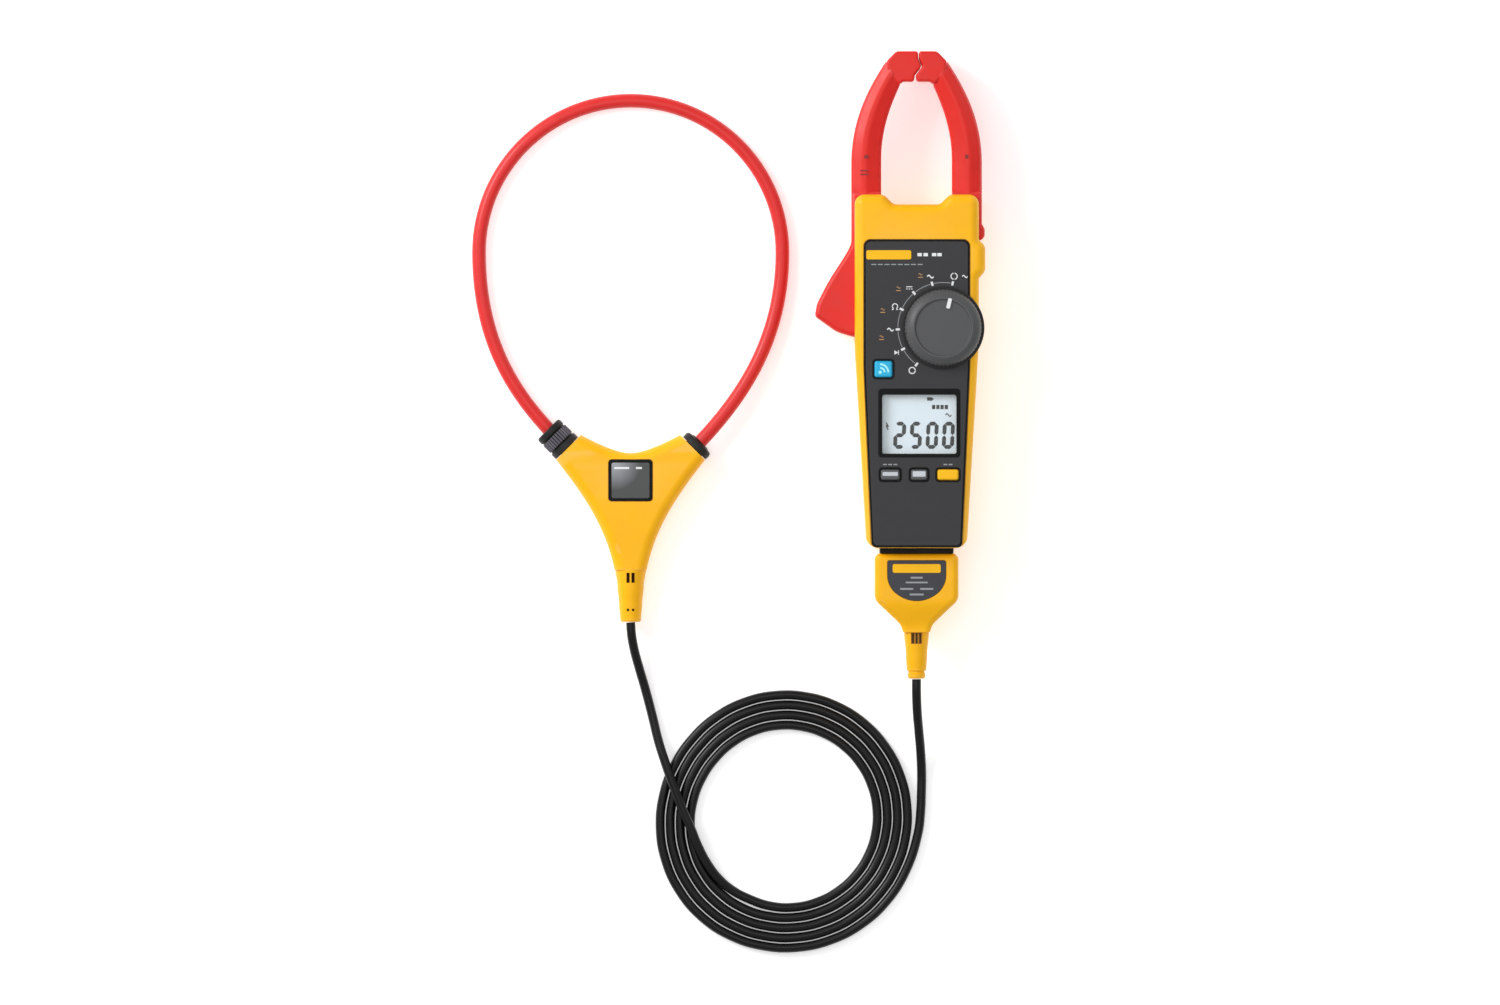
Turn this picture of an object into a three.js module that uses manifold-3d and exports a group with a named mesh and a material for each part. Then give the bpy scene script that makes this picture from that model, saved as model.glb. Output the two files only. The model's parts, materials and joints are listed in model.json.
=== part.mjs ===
// A clamp meter with a plug-in flexible current probe, laid out on a table: the meter lies on its back,
// the probe's handle and hoop lie beside it, and the probe's cable lies in a round coil below them.
// Millimetres. +X is to the meter's right, +Y is towards its jaws and +Z is out of its front. The table is z = 0.
// The origin is on the meter's back face, on its centre line.

import * as THREE from "three";
import { mergeVertices } from "three/addons/utils/BufferGeometryUtils.js";
import Module from "manifold-3d";

const wasm = await Module();
wasm.setup();

// ---------------------------------------------------------------- driving dimensions

const GAP = 0.3; // between pieces that touch or slide
const SEAM = 0.15; // half the gap between two half shells
const WALL = 2.2; // of the meter's case

const CASE = {
  top: 52.5,
  bottom: -124,
  halfTop: 31,
  halfBottom: 25.1,
  waist: -22, // where the sides start to taper
  depth: 36,
  split: 18, // height of the joint between front and back case
  edge: 4, // rounding of the long edges
};
const JAW = {
  top: 123.6,
  inner: 109, // inside edge of the tips
  outX: 32.6,
  inX: 18.2,
  straightTo: 68, // the arms are straight below this height
  half: 10.5, // half the thickness
};
const PIVOT = { x: -22, y: 32, pin: 3 };
const DOWEL = { x: 21, y: 34, r: 2.1 }; // holds the fixed jaw in the case
const SEAT = { r: 5, low: 7.1, high: 28.8 }; // the case's seats for the ends of the pivot pin and the dowel
const DIAL = { x: 13.1, y: -14.1, r: 20.6, low: 36.9, top: 45, stem: 6 };
const PANEL = {
  top: 30,
  bottom: -123.7,
  halfTop: 26.5,
  halfBottom: 22.6,
  waist: -34, // where its sides start to taper
  low: 35.2,
  high: 36.2,
};
const SCREEN = { x: 1.2, y: -62.2, w: 37, h: 29.4 };
const KEYS = {
  record_key: { x: -13.3, y: -87.4, w: 9.4, h: 5.2, round: 1.2 },
  hold_key: { x: 1.1, y: -87.4, w: 8.2, h: 5.2, round: 1.2 },
  zero_key: { x: 15.5, y: -87.4, w: 10.4, h: 5.2, round: 1.2 },
  radio_key: { x: -16.7, y: -34.7, w: 8.8, h: 8, round: 1.6 },
};
const KEY = { top: 37.2, flange: 1.2, flangeTop: 33.5, flangeLow: 32.2 };
const BOARD = { low: 27, high: 28.6 };
const DOOR = { half: 16, low: -120.4, high: -45.8, thick: 2 };
const CELL = { r: 7.1, x: 7.3, low: -108, high: -58, z: 10.2 };
const SCREWS = [
  [-20, -108],
  [20, -108],
  [1, 39],
  [24.5, 8],
];
const DOOR_SCREWS = [-116.6, -49.6];
const BOSS = 3.3;

const PLUG = { z: 18, half: 20.9, halfDepth: 10, top: -126.6, neck: -166, end: -189.3 };
const NOSE = { half: 18, top: -124.3, halfDepth: 9 };
const JACK = { x: 12.6, bore: 3.9, deep: 9 };

const HOOP = { x: -143, y: 25, r: 76, top: 75, tube: 3.5, rest: 3.55 }; // the flexible sensor
const HANDLE = {
  mid: 8.5,
  half: 8.4,
  arm: 8,
  armX: 31.6,
  armY: -99.3,
  boot: -160,
  end: -186,
};
const CORD = { r: 2.3 };
const COIL = { x: -65.25, y: -258.5, hole: 43.2, outer: 65.8, shift: -2.5, high: 4.6 };

// ---------------------------------------------------------------- finishes

const finish = (color, roughness, metalness = 0) =>
  new THREE.MeshStandardMaterial({ color, roughness, metalness });
const YELLOW = finish(0xf7b51d, 0.5);
const RED = finish(0xdf2f2b, 0.45);
const HOOP_RED = finish(0xe03a38, 0.5);
const CHARCOAL = finish(0x46464a, 0.6);
const KNOB_GREY = finish(0x57585a, 0.55);
const BLACK = finish(0x18181a, 0.5);
const KEY_GREY = finish(0xa4a5a9, 0.55);
const TEAL = finish(0x1a97d0, 0.45);
const WHITE = finish(0xf2f2f2, 0.5);
const SCREEN_GREY = finish(0xdde4e6, 0.25);
const CLEAR = finish(0xdfe6e8, 0.08);
const GREEN = finish(0x1f6b3c, 0.55);
const SILICONE = finish(0xc9c9c4, 0.8);
const STEEL = finish(0xb9bcc0, 0.3, 1);
const BRASS = finish(0xc8a24a, 0.3, 1);
const FERRITE = finish(0x3a3b3d, 0.7, 0.3);
const CELL_WRAP = finish(0x2f4f7d, 0.35);
const CORD_BLACK = finish(0x121212, 0.45);

// ---------------------------------------------------------------- solids from three.js geometry

function toSolid(geometry) {
  const bare = geometry.index ? geometry.toNonIndexed() : geometry.clone();
  bare.deleteAttribute("normal");
  bare.deleteAttribute("uv");
  const merged = mergeVertices(bare, 1e-4);
  return new wasm.Manifold(
    new wasm.Mesh({
      numProp: 3,
      vertProperties: merged.attributes.position.array,
      triVerts: new Uint32Array(merged.index.array),
    }),
  );
}

function toMesh(name, solid, material) {
  const { vertProperties, triVerts } = solid.getMesh();
  const geometry = new THREE.BufferGeometry()
    .setAttribute("position", new THREE.BufferAttribute(vertProperties, 3))
    .setIndex(new THREE.BufferAttribute(triVerts, 1));
  geometry.computeVertexNormals();
  const mesh = new THREE.Mesh(geometry, material);
  mesh.name = name;
  return mesh;
}

/** A closed outline of [x, y, radius] corners: each one becomes an arc, or a point where radius is 0. */
function rounded(corners, stepDeg = 24) {
  const outline = [];
  corners.forEach(([x, y, r = 0], i) => {
    const at = new THREE.Vector2(x, y);
    if (!r) return outline.push(at);
    const [px, py] = corners[(i + corners.length - 1) % corners.length];
    const [nx, ny] = corners[(i + 1) % corners.length];
    const back = new THREE.Vector2(px - x, py - y).normalize();
    const on = new THREE.Vector2(nx - x, ny - y).normalize();
    const half = Math.acos(THREE.MathUtils.clamp(back.dot(on), -1, 1)) / 2;
    const centre = back.clone().add(on).normalize().multiplyScalar(r / Math.sin(half)).add(at);
    const start = back.multiplyScalar(r / Math.tan(half)).add(at).sub(centre);
    const end = on.multiplyScalar(r / Math.tan(half)).add(at).sub(centre);
    const turn = Math.atan2(start.cross(end), start.dot(end));
    const steps = Math.max(1, Math.round(Math.abs(turn) / THREE.MathUtils.degToRad(stepDeg)));
    for (let k = 0; k <= steps; k++) {
      const p = start.clone().rotateAround(new THREE.Vector2(), (turn * k) / steps);
      outline.push(p.add(centre));
    }
  });
  return outline;
}

const rectangle = (x, y, w, h, r = 0) =>
  rounded([
    [x - w / 2, y - h / 2, r],
    [x + w / 2, y - h / 2, r],
    [x + w / 2, y + h / 2, r],
    [x - w / 2, y + h / 2, r],
  ]);

/** An outline's right half, from bottom to top, closed by its own mirror image in x. */
const mirrored = (right) => [...right, ...right.map((p) => new THREE.Vector2(-p.x, p.y)).reverse()];

/** The outline raised from z0 to z1. Its upper and lower edges are rounded by `round`. */
function plate(outline, z0, z1, round = 0, bevelSegments = 2) {
  const geometry = new THREE.ExtrudeGeometry(new THREE.Shape(outline), {
    depth: z1 - z0 - 2 * round,
    bevelEnabled: round > 0,
    bevelThickness: round,
    bevelSize: round,
    bevelOffset: -round,
    bevelSegments,
  });
  return toSolid(geometry.translate(0, 0, z0 + round));
}

/** A box given by its lowest and highest corners. */
function block([x0, y0, z0], [x1, y1, z1]) {
  const box = new THREE.BoxGeometry(x1 - x0, y1 - y0, z1 - z0);
  return toSolid(box.translate((x0 + x1) / 2, (y0 + y1) / 2, (z0 + z1) / 2));
}

/** A cylinder standing on z0 at x, y. */
function drum(x, y, r, z0, z1, sides = 20) {
  const round = new THREE.CylinderGeometry(r, r, z1 - z0, sides).rotateX(Math.PI / 2);
  return toSolid(round.translate(x, y, (z0 + z1) / 2));
}

/** A cylinder lying along Y from y0 to y1. */
function drumY(x, z, r, y0, y1, sides = 20) {
  return toSolid(new THREE.CylinderGeometry(r, r, y1 - y0, sides).translate(x, (y0 + y1) / 2, z));
}

/** A profile of [radius, height] turned about Z. */
function turned(profile, sides = 28) {
  const points = profile.map(([r, h]) => new THREE.Vector2(r, h));
  return toSolid(new THREE.LatheGeometry(points, sides).rotateX(Math.PI / 2));
}

/** Rings of points skinned into one closed solid. The rings are convex and have the same number of points. */
function skinned(rings) {
  const n = rings[0].length;
  const positions = rings.flat().flatMap((p) => [p.x, p.y, p.z]);
  const index = [];
  for (let i = 0; i + 1 < rings.length; i++)
    for (let k = 0; k < n; k++) {
      const a = i * n + k;
      const b = i * n + ((k + 1) % n);
      index.push(a, b, b + n, a, b + n, a + n);
    }
  const last = (rings.length - 1) * n;
  for (let k = 1; k + 1 < n; k++) index.push(0, k + 1, k, last, last + k, last + k + 1);
  const geometry = new THREE.BufferGeometry()
    .setAttribute("position", new THREE.Float32BufferAttribute(positions, 3))
    .setIndex(index);
  const solid = toSolid(geometry);
  if (solid.volume() > 0) return solid;
  for (let i = 0; i < index.length; i += 3) [index[i], index[i + 1]] = [index[i + 1], index[i]];
  return toSolid(geometry.setIndex(index));
}

/** A bar between an outer and an inner edge in plan. Its section is [share of the way in, height] pairs. */
const bar = (outer, inner, profile) =>
  skinned(
    outer.map((o, i) =>
      profile.map(([u, z]) => {
        const p = o.clone().lerp(inner[i], u);
        return new THREE.Vector3(p.x, p.y, z);
      }),
    ),
  );

/** A round tube of radius r along a curve. */
function tube(curve, r, steps, sides) {
  const section = new THREE.Shape(
    Array.from({ length: sides }, (_, k) => {
      const a = ((k + 0.5) * 2 * Math.PI) / sides;
      return new THREE.Vector2(r * Math.cos(a), r * Math.sin(a));
    }),
  );
  return toSolid(
    new THREE.ExtrudeGeometry(section, { steps, extrudePath: curve, curveSegments: 1 }),
  );
}

/** A boot or neck along -Y: rings of [y, half width, half depth] with round ends. */
function neck(stations, x, z, sides = 16) {
  return skinned(
    stations.map(([y, halfWidth, halfDepth]) =>
      Array.from({ length: sides }, (_, k) => {
        const a = (k * 2 * Math.PI) / sides;
        return new THREE.Vector3(x + halfWidth * Math.cos(a), y, z + halfDepth * Math.sin(a));
      }),
    ),
  );
}

const FAR = 400;
const above = (z) => block([-FAR, -FAR, z], [FAR, FAR, FAR]);
const below = (z) => block([-FAR, -FAR, -FAR], [FAR, FAR, z]);
const union = (solids) => solids.reduce((all, s) => all.add(s));
const cut = (solid, tools) => tools.reduce((left, tool) => left.subtract(tool), solid);
const curve3 = (points) =>
  new THREE.CatmullRomCurve3(
    points.map((p) => new THREE.Vector3(...p)),
    false,
    "centripetal",
  );

// ---------------------------------------------------------------- the meter's case

/** The case's main body in plan, moved in by `inset`. `tail` lets the long edges run on past the lower end. */
function bodyOutline(inset = 0, tail = 0) {
  const slope = (CASE.halfTop - CASE.halfBottom) / (CASE.waist - CASE.bottom);
  const top = CASE.halfTop - inset;
  const low = CASE.bottom + inset - tail;
  const bottom = CASE.halfBottom - inset - slope * tail;
  return rounded([
    [-bottom, low, 6],
    [bottom, low, 6],
    [top, CASE.waist, 120],
    [top, CASE.top - inset, 5],
    [-top, CASE.top - inset, 5],
    [-top, CASE.waist, 120],
  ]);
}

/** The dip between the case's two shoulders, which is the lower end of the jaws' opening. */
const dip = (inset = 0) =>
  plate(
    rounded([
      [19 + inset, 55],
      [-19 - inset, 55],
      [-17 - inset, 52.5 - inset],
      [-12.3 - inset * 0.5, 47.6 - inset, 4],
      [12.3 + inset * 0.5, 47.6 - inset, 4],
      [17 + inset, 52.5 - inset],
    ]),
    -1,
    CASE.depth + 1,
  );

/** The bump on the case's right side, below the fixed jaw, which keeps fingers away from the jaws. */
const guard = (inset = 0) =>
  plate(
    rounded([
      [25, 9 + inset],
      [31 - inset, 11 + inset, 3],
      [34.2 - inset, 14.5 + inset, 3],
      [34.2 - inset, 27 - inset, 3],
      [31 - inset, 29.6 - inset, 3],
      [25, 30.5 - inset],
    ]),
    4 + inset,
    CASE.depth - 4 - inset,
  );

/** Both halves of the case as one hollow solid, with the ways out for the jaws, trigger and sockets. */
function hollowCase() {
  const body = plate(bodyOutline(0, 6), 0, CASE.depth, CASE.edge, 2).intersect(
    plate(bodyOutline(), -1, CASE.depth + 1),
  );
  const inside = plate(bodyOutline(WALL), WALL, CASE.depth - WALL).add(guard(1.8));
  const low = CASE.split - JAW.half - GAP;
  const high = CASE.split + JAW.half + GAP;
  return cut(body.subtract(dip()).add(guard()), [
    inside.subtract(dip(WALL)),
    block([-40, -20, low], [-22, 60, high]), // the trigger's side slot
    block([-40, 40, low], [-17.7, 60, high]), // the moving jaw's way out
    block([17.7, 40, low], [40, 60, high]), // the fixed jaw's way out
    block([27, 29.5, low], [40, 60, high]), // the fixed jaw's heel
    block([-17.6, -130, 8.4], [17.6, -120, 27.6]), // the socket block's opening
  ]);
}

/** The two bosses of each case screw, above and below the joint. */
const backBosses = () => union(SCREWS.map(([x, y]) => drum(x, y, BOSS, 1, CASE.split - SEAM, 16)));
const frontBosses = () => union(SCREWS.map(([x, y]) => drum(x, y, BOSS, CASE.split + SEAM, 35, 16)));

function backCase(hollow) {
  const half = hollow.intersect(below(CASE.split - SEAM));
  const inside = plate(bodyOutline(1), 0, CASE.split - SEAM);
  const cradle = union([
    block([-17.4, -122, 1], [17.4, -44.4, 3.6]),
    block([-17, -112.4, 1], [17, -110.6, 17]),
    block([-17, -55.8, 1], [17, -54.2, 17]),
    ...DOOR_SCREWS.map((y) => drum(0, y, 3.4, 1, 7.6, 14)),
    drum(PIVOT.x, PIVOT.y, SEAT.r, 1, SEAT.low, 16),
    drum(DOWEL.x, DOWEL.y, SEAT.r, 1, SEAT.low, 16),
  ]);
  return cut(half.add(union([backBosses(), cradle]).intersect(inside)), [
    plate(rectangle(0, (DOOR.low + DOOR.high) / 2, 2 * DOOR.half, DOOR.high - DOOR.low, 3), -1, 2.3),
    block([-14.7, -110.6, -1], [14.7, -55.8, 4]),
    ...DOOR_SCREWS.map((y) => drum(0, y, 1.6, -1, 7, 12)),
    ...SCREWS.map(([x, y]) => drum(x, y, 2.9, -1, 3, 14)),
    ...SCREWS.map(([x, y]) => drum(x, y, 1.6, -1, 19, 12)),
    drum(PIVOT.x, PIVOT.y, PIVOT.pin + 0.05, 4, 19, 20),
    drum(DOWEL.x, DOWEL.y, DOWEL.r + 0.25, 4, 19, 16),
  ]);
}

function frontCase(hollow) {
  const half = hollow.intersect(above(CASE.split + SEAM));
  const inside = plate(bodyOutline(1), CASE.split + SEAM, 35);
  const seats = union([
    frontBosses(),
    drum(PIVOT.x, PIVOT.y, SEAT.r - 0.1, SEAT.high, 35, 16),
    drum(DOWEL.x, DOWEL.y, SEAT.r, SEAT.high, 35, 16),
  ]);
  return cut(half.add(seats.intersect(inside)), [
    plate(panelOutline(-GAP), PANEL.low - GAP, 40),
    plate(rectangle(SCREEN.x, SCREEN.y, SCREEN.w + 2.6, SCREEN.h + 2.6, 1), 30, 40),
    drum(DIAL.x, DIAL.y, DIAL.stem + 1, 30, 40, 24),
    ...Object.values(KEYS).map((k) =>
      plate(rectangle(k.x, k.y, k.w + 0.8, k.h + 0.8, k.round), 30, 40),
    ),
    ...SCREWS.map(([x, y]) => drum(x, y, 1.6, 18, 30, 12)),
    drum(PIVOT.x, PIVOT.y, PIVOT.pin + 0.05, 17, 32, 20),
    drum(DOWEL.x, DOWEL.y, DOWEL.r + 0.25, 17, 32, 16),
  ]);
}

// ---------------------------------------------------------------- front panel, screen, keys and dial

function panelOutline(inset = 0) {
  const low = PANEL.bottom + (inset < 0 ? -3 : inset);
  return rounded([
    [-PANEL.halfBottom + inset, low, 2.5],
    [PANEL.halfBottom - inset, low, 2.5],
    [PANEL.halfTop - inset, PANEL.waist, 90],
    [PANEL.halfTop - inset, PANEL.top - inset, 3.4],
    [-PANEL.halfTop + inset, PANEL.top - inset, 3.4],
    [-PANEL.halfTop + inset, PANEL.waist, 90],
  ]);
}

function frontPanel() {
  return cut(plate(panelOutline(), PANEL.low, PANEL.high), [
    plate(rectangle(SCREEN.x, SCREEN.y, SCREEN.w, SCREEN.h, 1), 30, 40),
    drum(DIAL.x, DIAL.y, DIAL.stem + 1.4, 30, 40, 24),
    ...Object.values(KEYS).map((k) =>
      plate(rectangle(k.x, k.y, k.w + 0.8, k.h + 0.8, k.round), 30, 40),
    ),
  ]);
}

const displayWindow = () =>
  plate(rectangle(SCREEN.x, SCREEN.y, SCREEN.w + 2, SCREEN.h + 2, 0.8), 33.5, 34.9);

const lcdModule = () =>
  block(
    [SCREEN.x - 20, SCREEN.y - 16.2, 30.6],
    [SCREEN.x + 20, SCREEN.y + 16.2, 33],
  );

const lcdHolder = () =>
  plate(rectangle(SCREEN.x, SCREEN.y, 44, 36.4, 1), 28.9, 33.2).subtract(
    plate(rectangle(SCREEN.x, SCREEN.y, 40.6, 33, 0), 28, 34),
  );

const zebraStrip = () =>
  block([SCREEN.x - 18, SCREEN.y - 15.6, 28.8], [SCREEN.x + 18, SCREEN.y - 13.6, 30.4]);

function mainBoard() {
  const outline = rounded([
    [-20, -102, 1],
    [20, -102, 1],
    [26.6, -30, 1],
    [26.6, 3.4, 1],
    [-4.6, 3.4, 1],
    [-4.6, -23, 1],
    [-26.4, -23, 1],
  ]);
  return plate(outline, BOARD.low, BOARD.high);
}

/** A rubber sheet on the board, with a dome under each of the three keys below the screen. */
function keypadMat() {
  const sheet = block([-19, -92, 28.8], [21.5, -82.8, 29.9]);
  const domes = ["record_key", "hold_key", "zero_key"].map((name) =>
    turned([
      [0, 29],
      [3, 29],
      [2, 31.1],
      [0, 31.1],
    ], 12).translate(KEYS[name].x, KEYS[name].y, 0),
  );
  return union([sheet, ...domes]);
}

function radioDome() {
  const dome = turned([
    [0, 28.8],
    [3.6, 28.8],
    [3.6, 29.8],
    [2, 31.1],
    [0, 31.1],
  ], 14);
  return dome.translate(KEYS.radio_key.x, KEYS.radio_key.y, 0);
}

function keyCap({ x, y, w, h, round }) {
  return union([
    plate(rectangle(x, y, w, h, round), KEY.flangeLow, KEY.top, 0.5, 1),
    plate(
      rectangle(x, y, w + 2 * KEY.flange, h + 2 * KEY.flange, round),
      KEY.flangeLow,
      KEY.flangeTop,
    ),
  ]);
}

function dialKnob() {
  const knob = turned(
    [
      [0, DIAL.low + 1.8],
      [DIAL.r - 2, DIAL.low + 1.8],
      [DIAL.r - 2, DIAL.low],
      [DIAL.r, DIAL.low],
      [DIAL.r, DIAL.low + 2.2],
      [DIAL.r - 4.4, DIAL.top - 0.8],
      [DIAL.r - 5.6, DIAL.top],
      [DIAL.r - 7.2, DIAL.top - 0.5],
      [0, DIAL.top - 0.5],
    ],
    36,
  );
  const stem = drum(0, 0, DIAL.stem, 32.4, DIAL.low + 2.5, 20);
  const square = block([-2.4, -2.4, 29.2], [2.4, 2.4, 33]);
  const pointer = plate(pointerOutline(GAP), DIAL.top - 1.6, DIAL.top + 1);
  return cut(union([knob, stem, square]), [pointer]).translate(DIAL.x, DIAL.y, 0);
}

const POINTER = { deg: -13.5, low: 9.2, high: 14.8, half: 1 };

function pointerOutline(inset = 0) {
  const turn = THREE.MathUtils.degToRad(POINTER.deg);
  return rectangle(
    0,
    (POINTER.low + POINTER.high) / 2,
    2 * (POINTER.half + inset),
    POINTER.high - POINTER.low + 2 * inset,
  ).map((p) => p.rotateAround(new THREE.Vector2(), turn));
}

const dialPointer = () =>
  plate(pointerOutline(), DIAL.top - 1.3, DIAL.top - 0.3).translate(DIAL.x, DIAL.y, 0);

/** The switch rotor on the dial's square end, with three wiper arms. */
function dialRotor() {
  const disc = drum(0, 0, 9.4, 29.4, 30.9, 24);
  const arms = [0, 120, 240].map((deg) =>
    block([-1.2, 8, 29.4], [1.2, 12.4, 30.2]).rotate([0, 0, deg]),
  );
  const square = block([-2.7, -2.7, 28], [2.7, 2.7, 33]);
  return cut(union([disc, ...arms]), [square]).translate(DIAL.x, DIAL.y, 0);
}

// ---------------------------------------------------------------- jaws

/** The outer and inner edge of the left jaw arm in plan, from the case up to the tip at x = tip. */
function jawEdges(tip) {
  const line = (...p) => p.map(([x, y]) => new THREE.Vector2(x, y));
  const bend = (...p) => new THREE.CubicBezierCurve(...line(...p)).getPoints(8);
  return {
    outer: [
      ...line([-JAW.outX, 50]),
      ...bend([-JAW.outX, JAW.straightTo], [-JAW.outX, 89], [-25, 104.5], [-15.4, 119]),
      ...line([-13.2, 122], [-10.4, JAW.top], [tip, JAW.top]),
    ],
    inner: [
      ...line([-JAW.inX, 50]),
      ...bend([-JAW.inX, JAW.straightTo + 2], [-JAW.inX, 86], [-12.5, 98], [-8.3, 107.4]),
      ...line([-7.8, 108.5], [-6.6, JAW.inner], [tip, JAW.inner]),
    ],
  };
}

const jawProfile = [
  [0, -6.2],
  [0, 6.2],
  [0.07, 7.9],
  [0.44, JAW.half],
  [0.93, 7.9],
  [1, 6.2],
  [1, -6.2],
  [0.93, -7.9],
  [0.44, -JAW.half],
  [0.07, -7.9],
].map(([u, z]) => [u, CASE.split + z]);

const boxProfile = (u, z) => [
  [u, CASE.split - z],
  [u, CASE.split + z],
  [1 - u, CASE.split + z],
  [1 - u, CASE.split - z],
];

const jawArm = (tip) => {
  const { outer, inner } = jawEdges(tip);
  return bar(outer, inner, jawProfile);
};
const jawCavity = (tip) => {
  const { outer, inner } = jawEdges(tip - 1.6);
  return bar(outer, inner, boxProfile(0.17, 7.2));
};
const jawCore = (tip) => {
  const { outer, inner } = jawEdges(tip - 1.9);
  return bar(outer, inner, boxProfile(0.2, 6.8));
};

/** The moving jaw's lower part: the boss round the pivot, and the trigger in the case's side. */
function leverRoot() {
  const outline = rounded([
    [-JAW.inX, 54],
    [-JAW.inX, 48, 6],
    [-12.4, 38, 8],
    [-13.2, 22, 10],
    [-22, 4, 40],
    [-25.2, -17.8, 2],
    [-31.5, -18.6, 8],
    [-40, -16, 14],
    [-50.9, -8.2, 2.6],
    [-49.8, -2, 8],
    [-44, 9.4, 60],
    [-35.8, 22, 30],
    [-JAW.outX, 28, 8],
    [-JAW.outX, 54],
  ]);
  return plate(outline, CASE.split - JAW.half, CASE.split + JAW.half, 1.2, 1);
}

/** The fixed jaw's lower part, held inside the case's right shoulder. */
function fixedRoot() {
  const outline = rounded([
    [JAW.outX, 54],
    [JAW.outX, 38],
    [33.6, 35],
    [33.6, 30],
    [28.2, 29.8],
    [28.2, 20],
    [13.4, 20],
    [13.4, 38, 4],
    [JAW.inX, 48, 6],
    [JAW.inX, 54],
  ]).reverse();
  return plate(outline, CASE.split - JAW.half, CASE.split + JAW.half, 1.2, 1);
}

function movingJaw() {
  const tip = 0.75;
  const holes = [
    jawCavity(tip),
    drum(PIVOT.x, PIVOT.y, PIVOT.pin + 0.1, 0, 40, 24),
    springHole(),
  ];
  return { shell: cut(union([jawArm(tip), leverRoot()]), holes), core: jawCore(tip) };
}

function fixedJaw() {
  const tip = -1.05;
  const flip = (solid) => solid.mirror([1, 0, 0]);
  const holes = [flip(jawCavity(tip)), drum(DOWEL.x, DOWEL.y, DOWEL.r + GAP, 0, 40, 20)];
  return { shell: cut(union([flip(jawArm(tip)), fixedRoot()]), holes), core: flip(jawCore(tip)) };
}

const pivotPin = () => drum(PIVOT.x, PIVOT.y, PIVOT.pin, 4.3, 31.7, 24);
const jawDowel = () => drum(DOWEL.x, DOWEL.y, DOWEL.r, 4.3, 31.7, 16);

/** A torsion spring round the pivot pin, above the moving jaw: one leg on the case, one leg in the jaw. */
const SPRING = { r: 5.9, wire: 0.5, low: 29.5, high: 32.9, turns: 2.75 };

function jawSpring() {
  const steps = 8 * SPRING.turns;
  const start = THREE.MathUtils.degToRad(-60);
  const coil = Array.from({ length: steps + 1 }, (_, i) => {
    const a = start + (i / steps) * SPRING.turns * 2 * Math.PI;
    const z = SPRING.low + (i / steps) * (SPRING.high - SPRING.low);
    return [PIVOT.x + SPRING.r * Math.cos(a), PIVOT.y + SPRING.r * Math.sin(a), z];
  });
  const [x, y] = coil[0];
  const [endX, endY] = coil[steps];
  const route = [
    [x - 5.2, y - 3, SPRING.low - 3],
    [x - 5, y - 2.9, SPRING.low - 0.4],
    [x - 4, y - 2.3, SPRING.low],
    ...coil,
    [endX + 9, endY - 5, SPRING.high],
  ];
  return tube(curve3(route), SPRING.wire, 44, 5);
}

/** The hole in the moving jaw that takes the spring's lower leg. */
function springHole() {
  const a = THREE.MathUtils.degToRad(-60);
  const x = PIVOT.x + SPRING.r * Math.cos(a) - 5.1;
  const y = PIVOT.y + SPRING.r * Math.sin(a) - 2.95;
  return drum(x, y, 1.3, 24, 32, 10);
}

// ---------------------------------------------------------------- inside and back of the meter

function caseScrew([x, y]) {
  return turned([
    [0, 1.2],
    [2.5, 0.9],
    [2.5, 2.7],
    [1.25, 2.7],
    [1.25, 28],
    [0, 29],
  ], 12).translate(x, y, 0);
}

function doorScrew(y) {
  return turned([
    [0, 0.2],
    [2.5, 0.2],
    [2.5, 0.85],
    [1.25, 0.85],
    [1.25, 6],
    [0, 6.6],
  ], 14).translate(0, y, 0);
}

/** The battery door, with a counterbored hole at each end for its captive screw. */
function batteryDoor() {
  const middle = (DOOR.low + DOOR.high) / 2;
  const cover = rectangle(0, middle, 2 * DOOR.half - 2 * GAP, DOOR.high - DOOR.low - 2 * GAP, 2.7);
  const rib = (y) => block([-11, y - 0.5, 1.5], [11, y + 0.5, 2.7]);
  return cut(union([plate(cover, 0, DOOR.thick), rib(-100), rib(-83), rib(-66)]), [
    ...DOOR_SCREWS.map((y) => drum(0, y, 2.8, -1, 1.15, 14)),
    ...DOOR_SCREWS.map((y) => drum(0, y, 1.55, -1, 3, 12)),
  ]);
}

function cell(x, upright) {
  const ends = upright ? [CELL.low, CELL.high - 1.2] : [CELL.low + 1.2, CELL.high];
  const nub = upright ? [CELL.high - 1.3, CELL.high] : [CELL.low, CELL.low + 1.3];
  return union([
    drumY(x, CELL.z, CELL.r, ...ends, 20),
    drumY(x, CELL.z, 2.7, ...nub, 12),
  ]);
}

const contactStrip = (y) => block([-14.5, y, 4], [14.5, y + 0.6, 16.5]);
const contactTab = (x, y) => block([x - 5.5, y, 4], [x + 5.5, y + 0.6, 16.5]);

/** The block at the meter's lower end: a slot for the probe's tongue between two shrouded test-lead sockets. */
function socketBlock() {
  const body = block([-17.3, -123.8, 8.7], [17.3, -113.2, 27.3]);
  return cut(body, [
    block([-7.4, -125, PLUG.z - 4], [7.4, -115.6, PLUG.z + 4]),
    drumY(-JACK.x, PLUG.z, JACK.bore, -125, -123.8 + JACK.deep, 18),
    drumY(JACK.x, PLUG.z, JACK.bore, -125, -123.8 + JACK.deep, 18),
  ]);
}

const jackSleeve = (x) =>
  drumY(x, PLUG.z, 2.9, -123, -115.1, 16).subtract(drumY(x, PLUG.z, 2.05, -124, -116, 14));

// ---------------------------------------------------------------- the probe's plug

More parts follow.
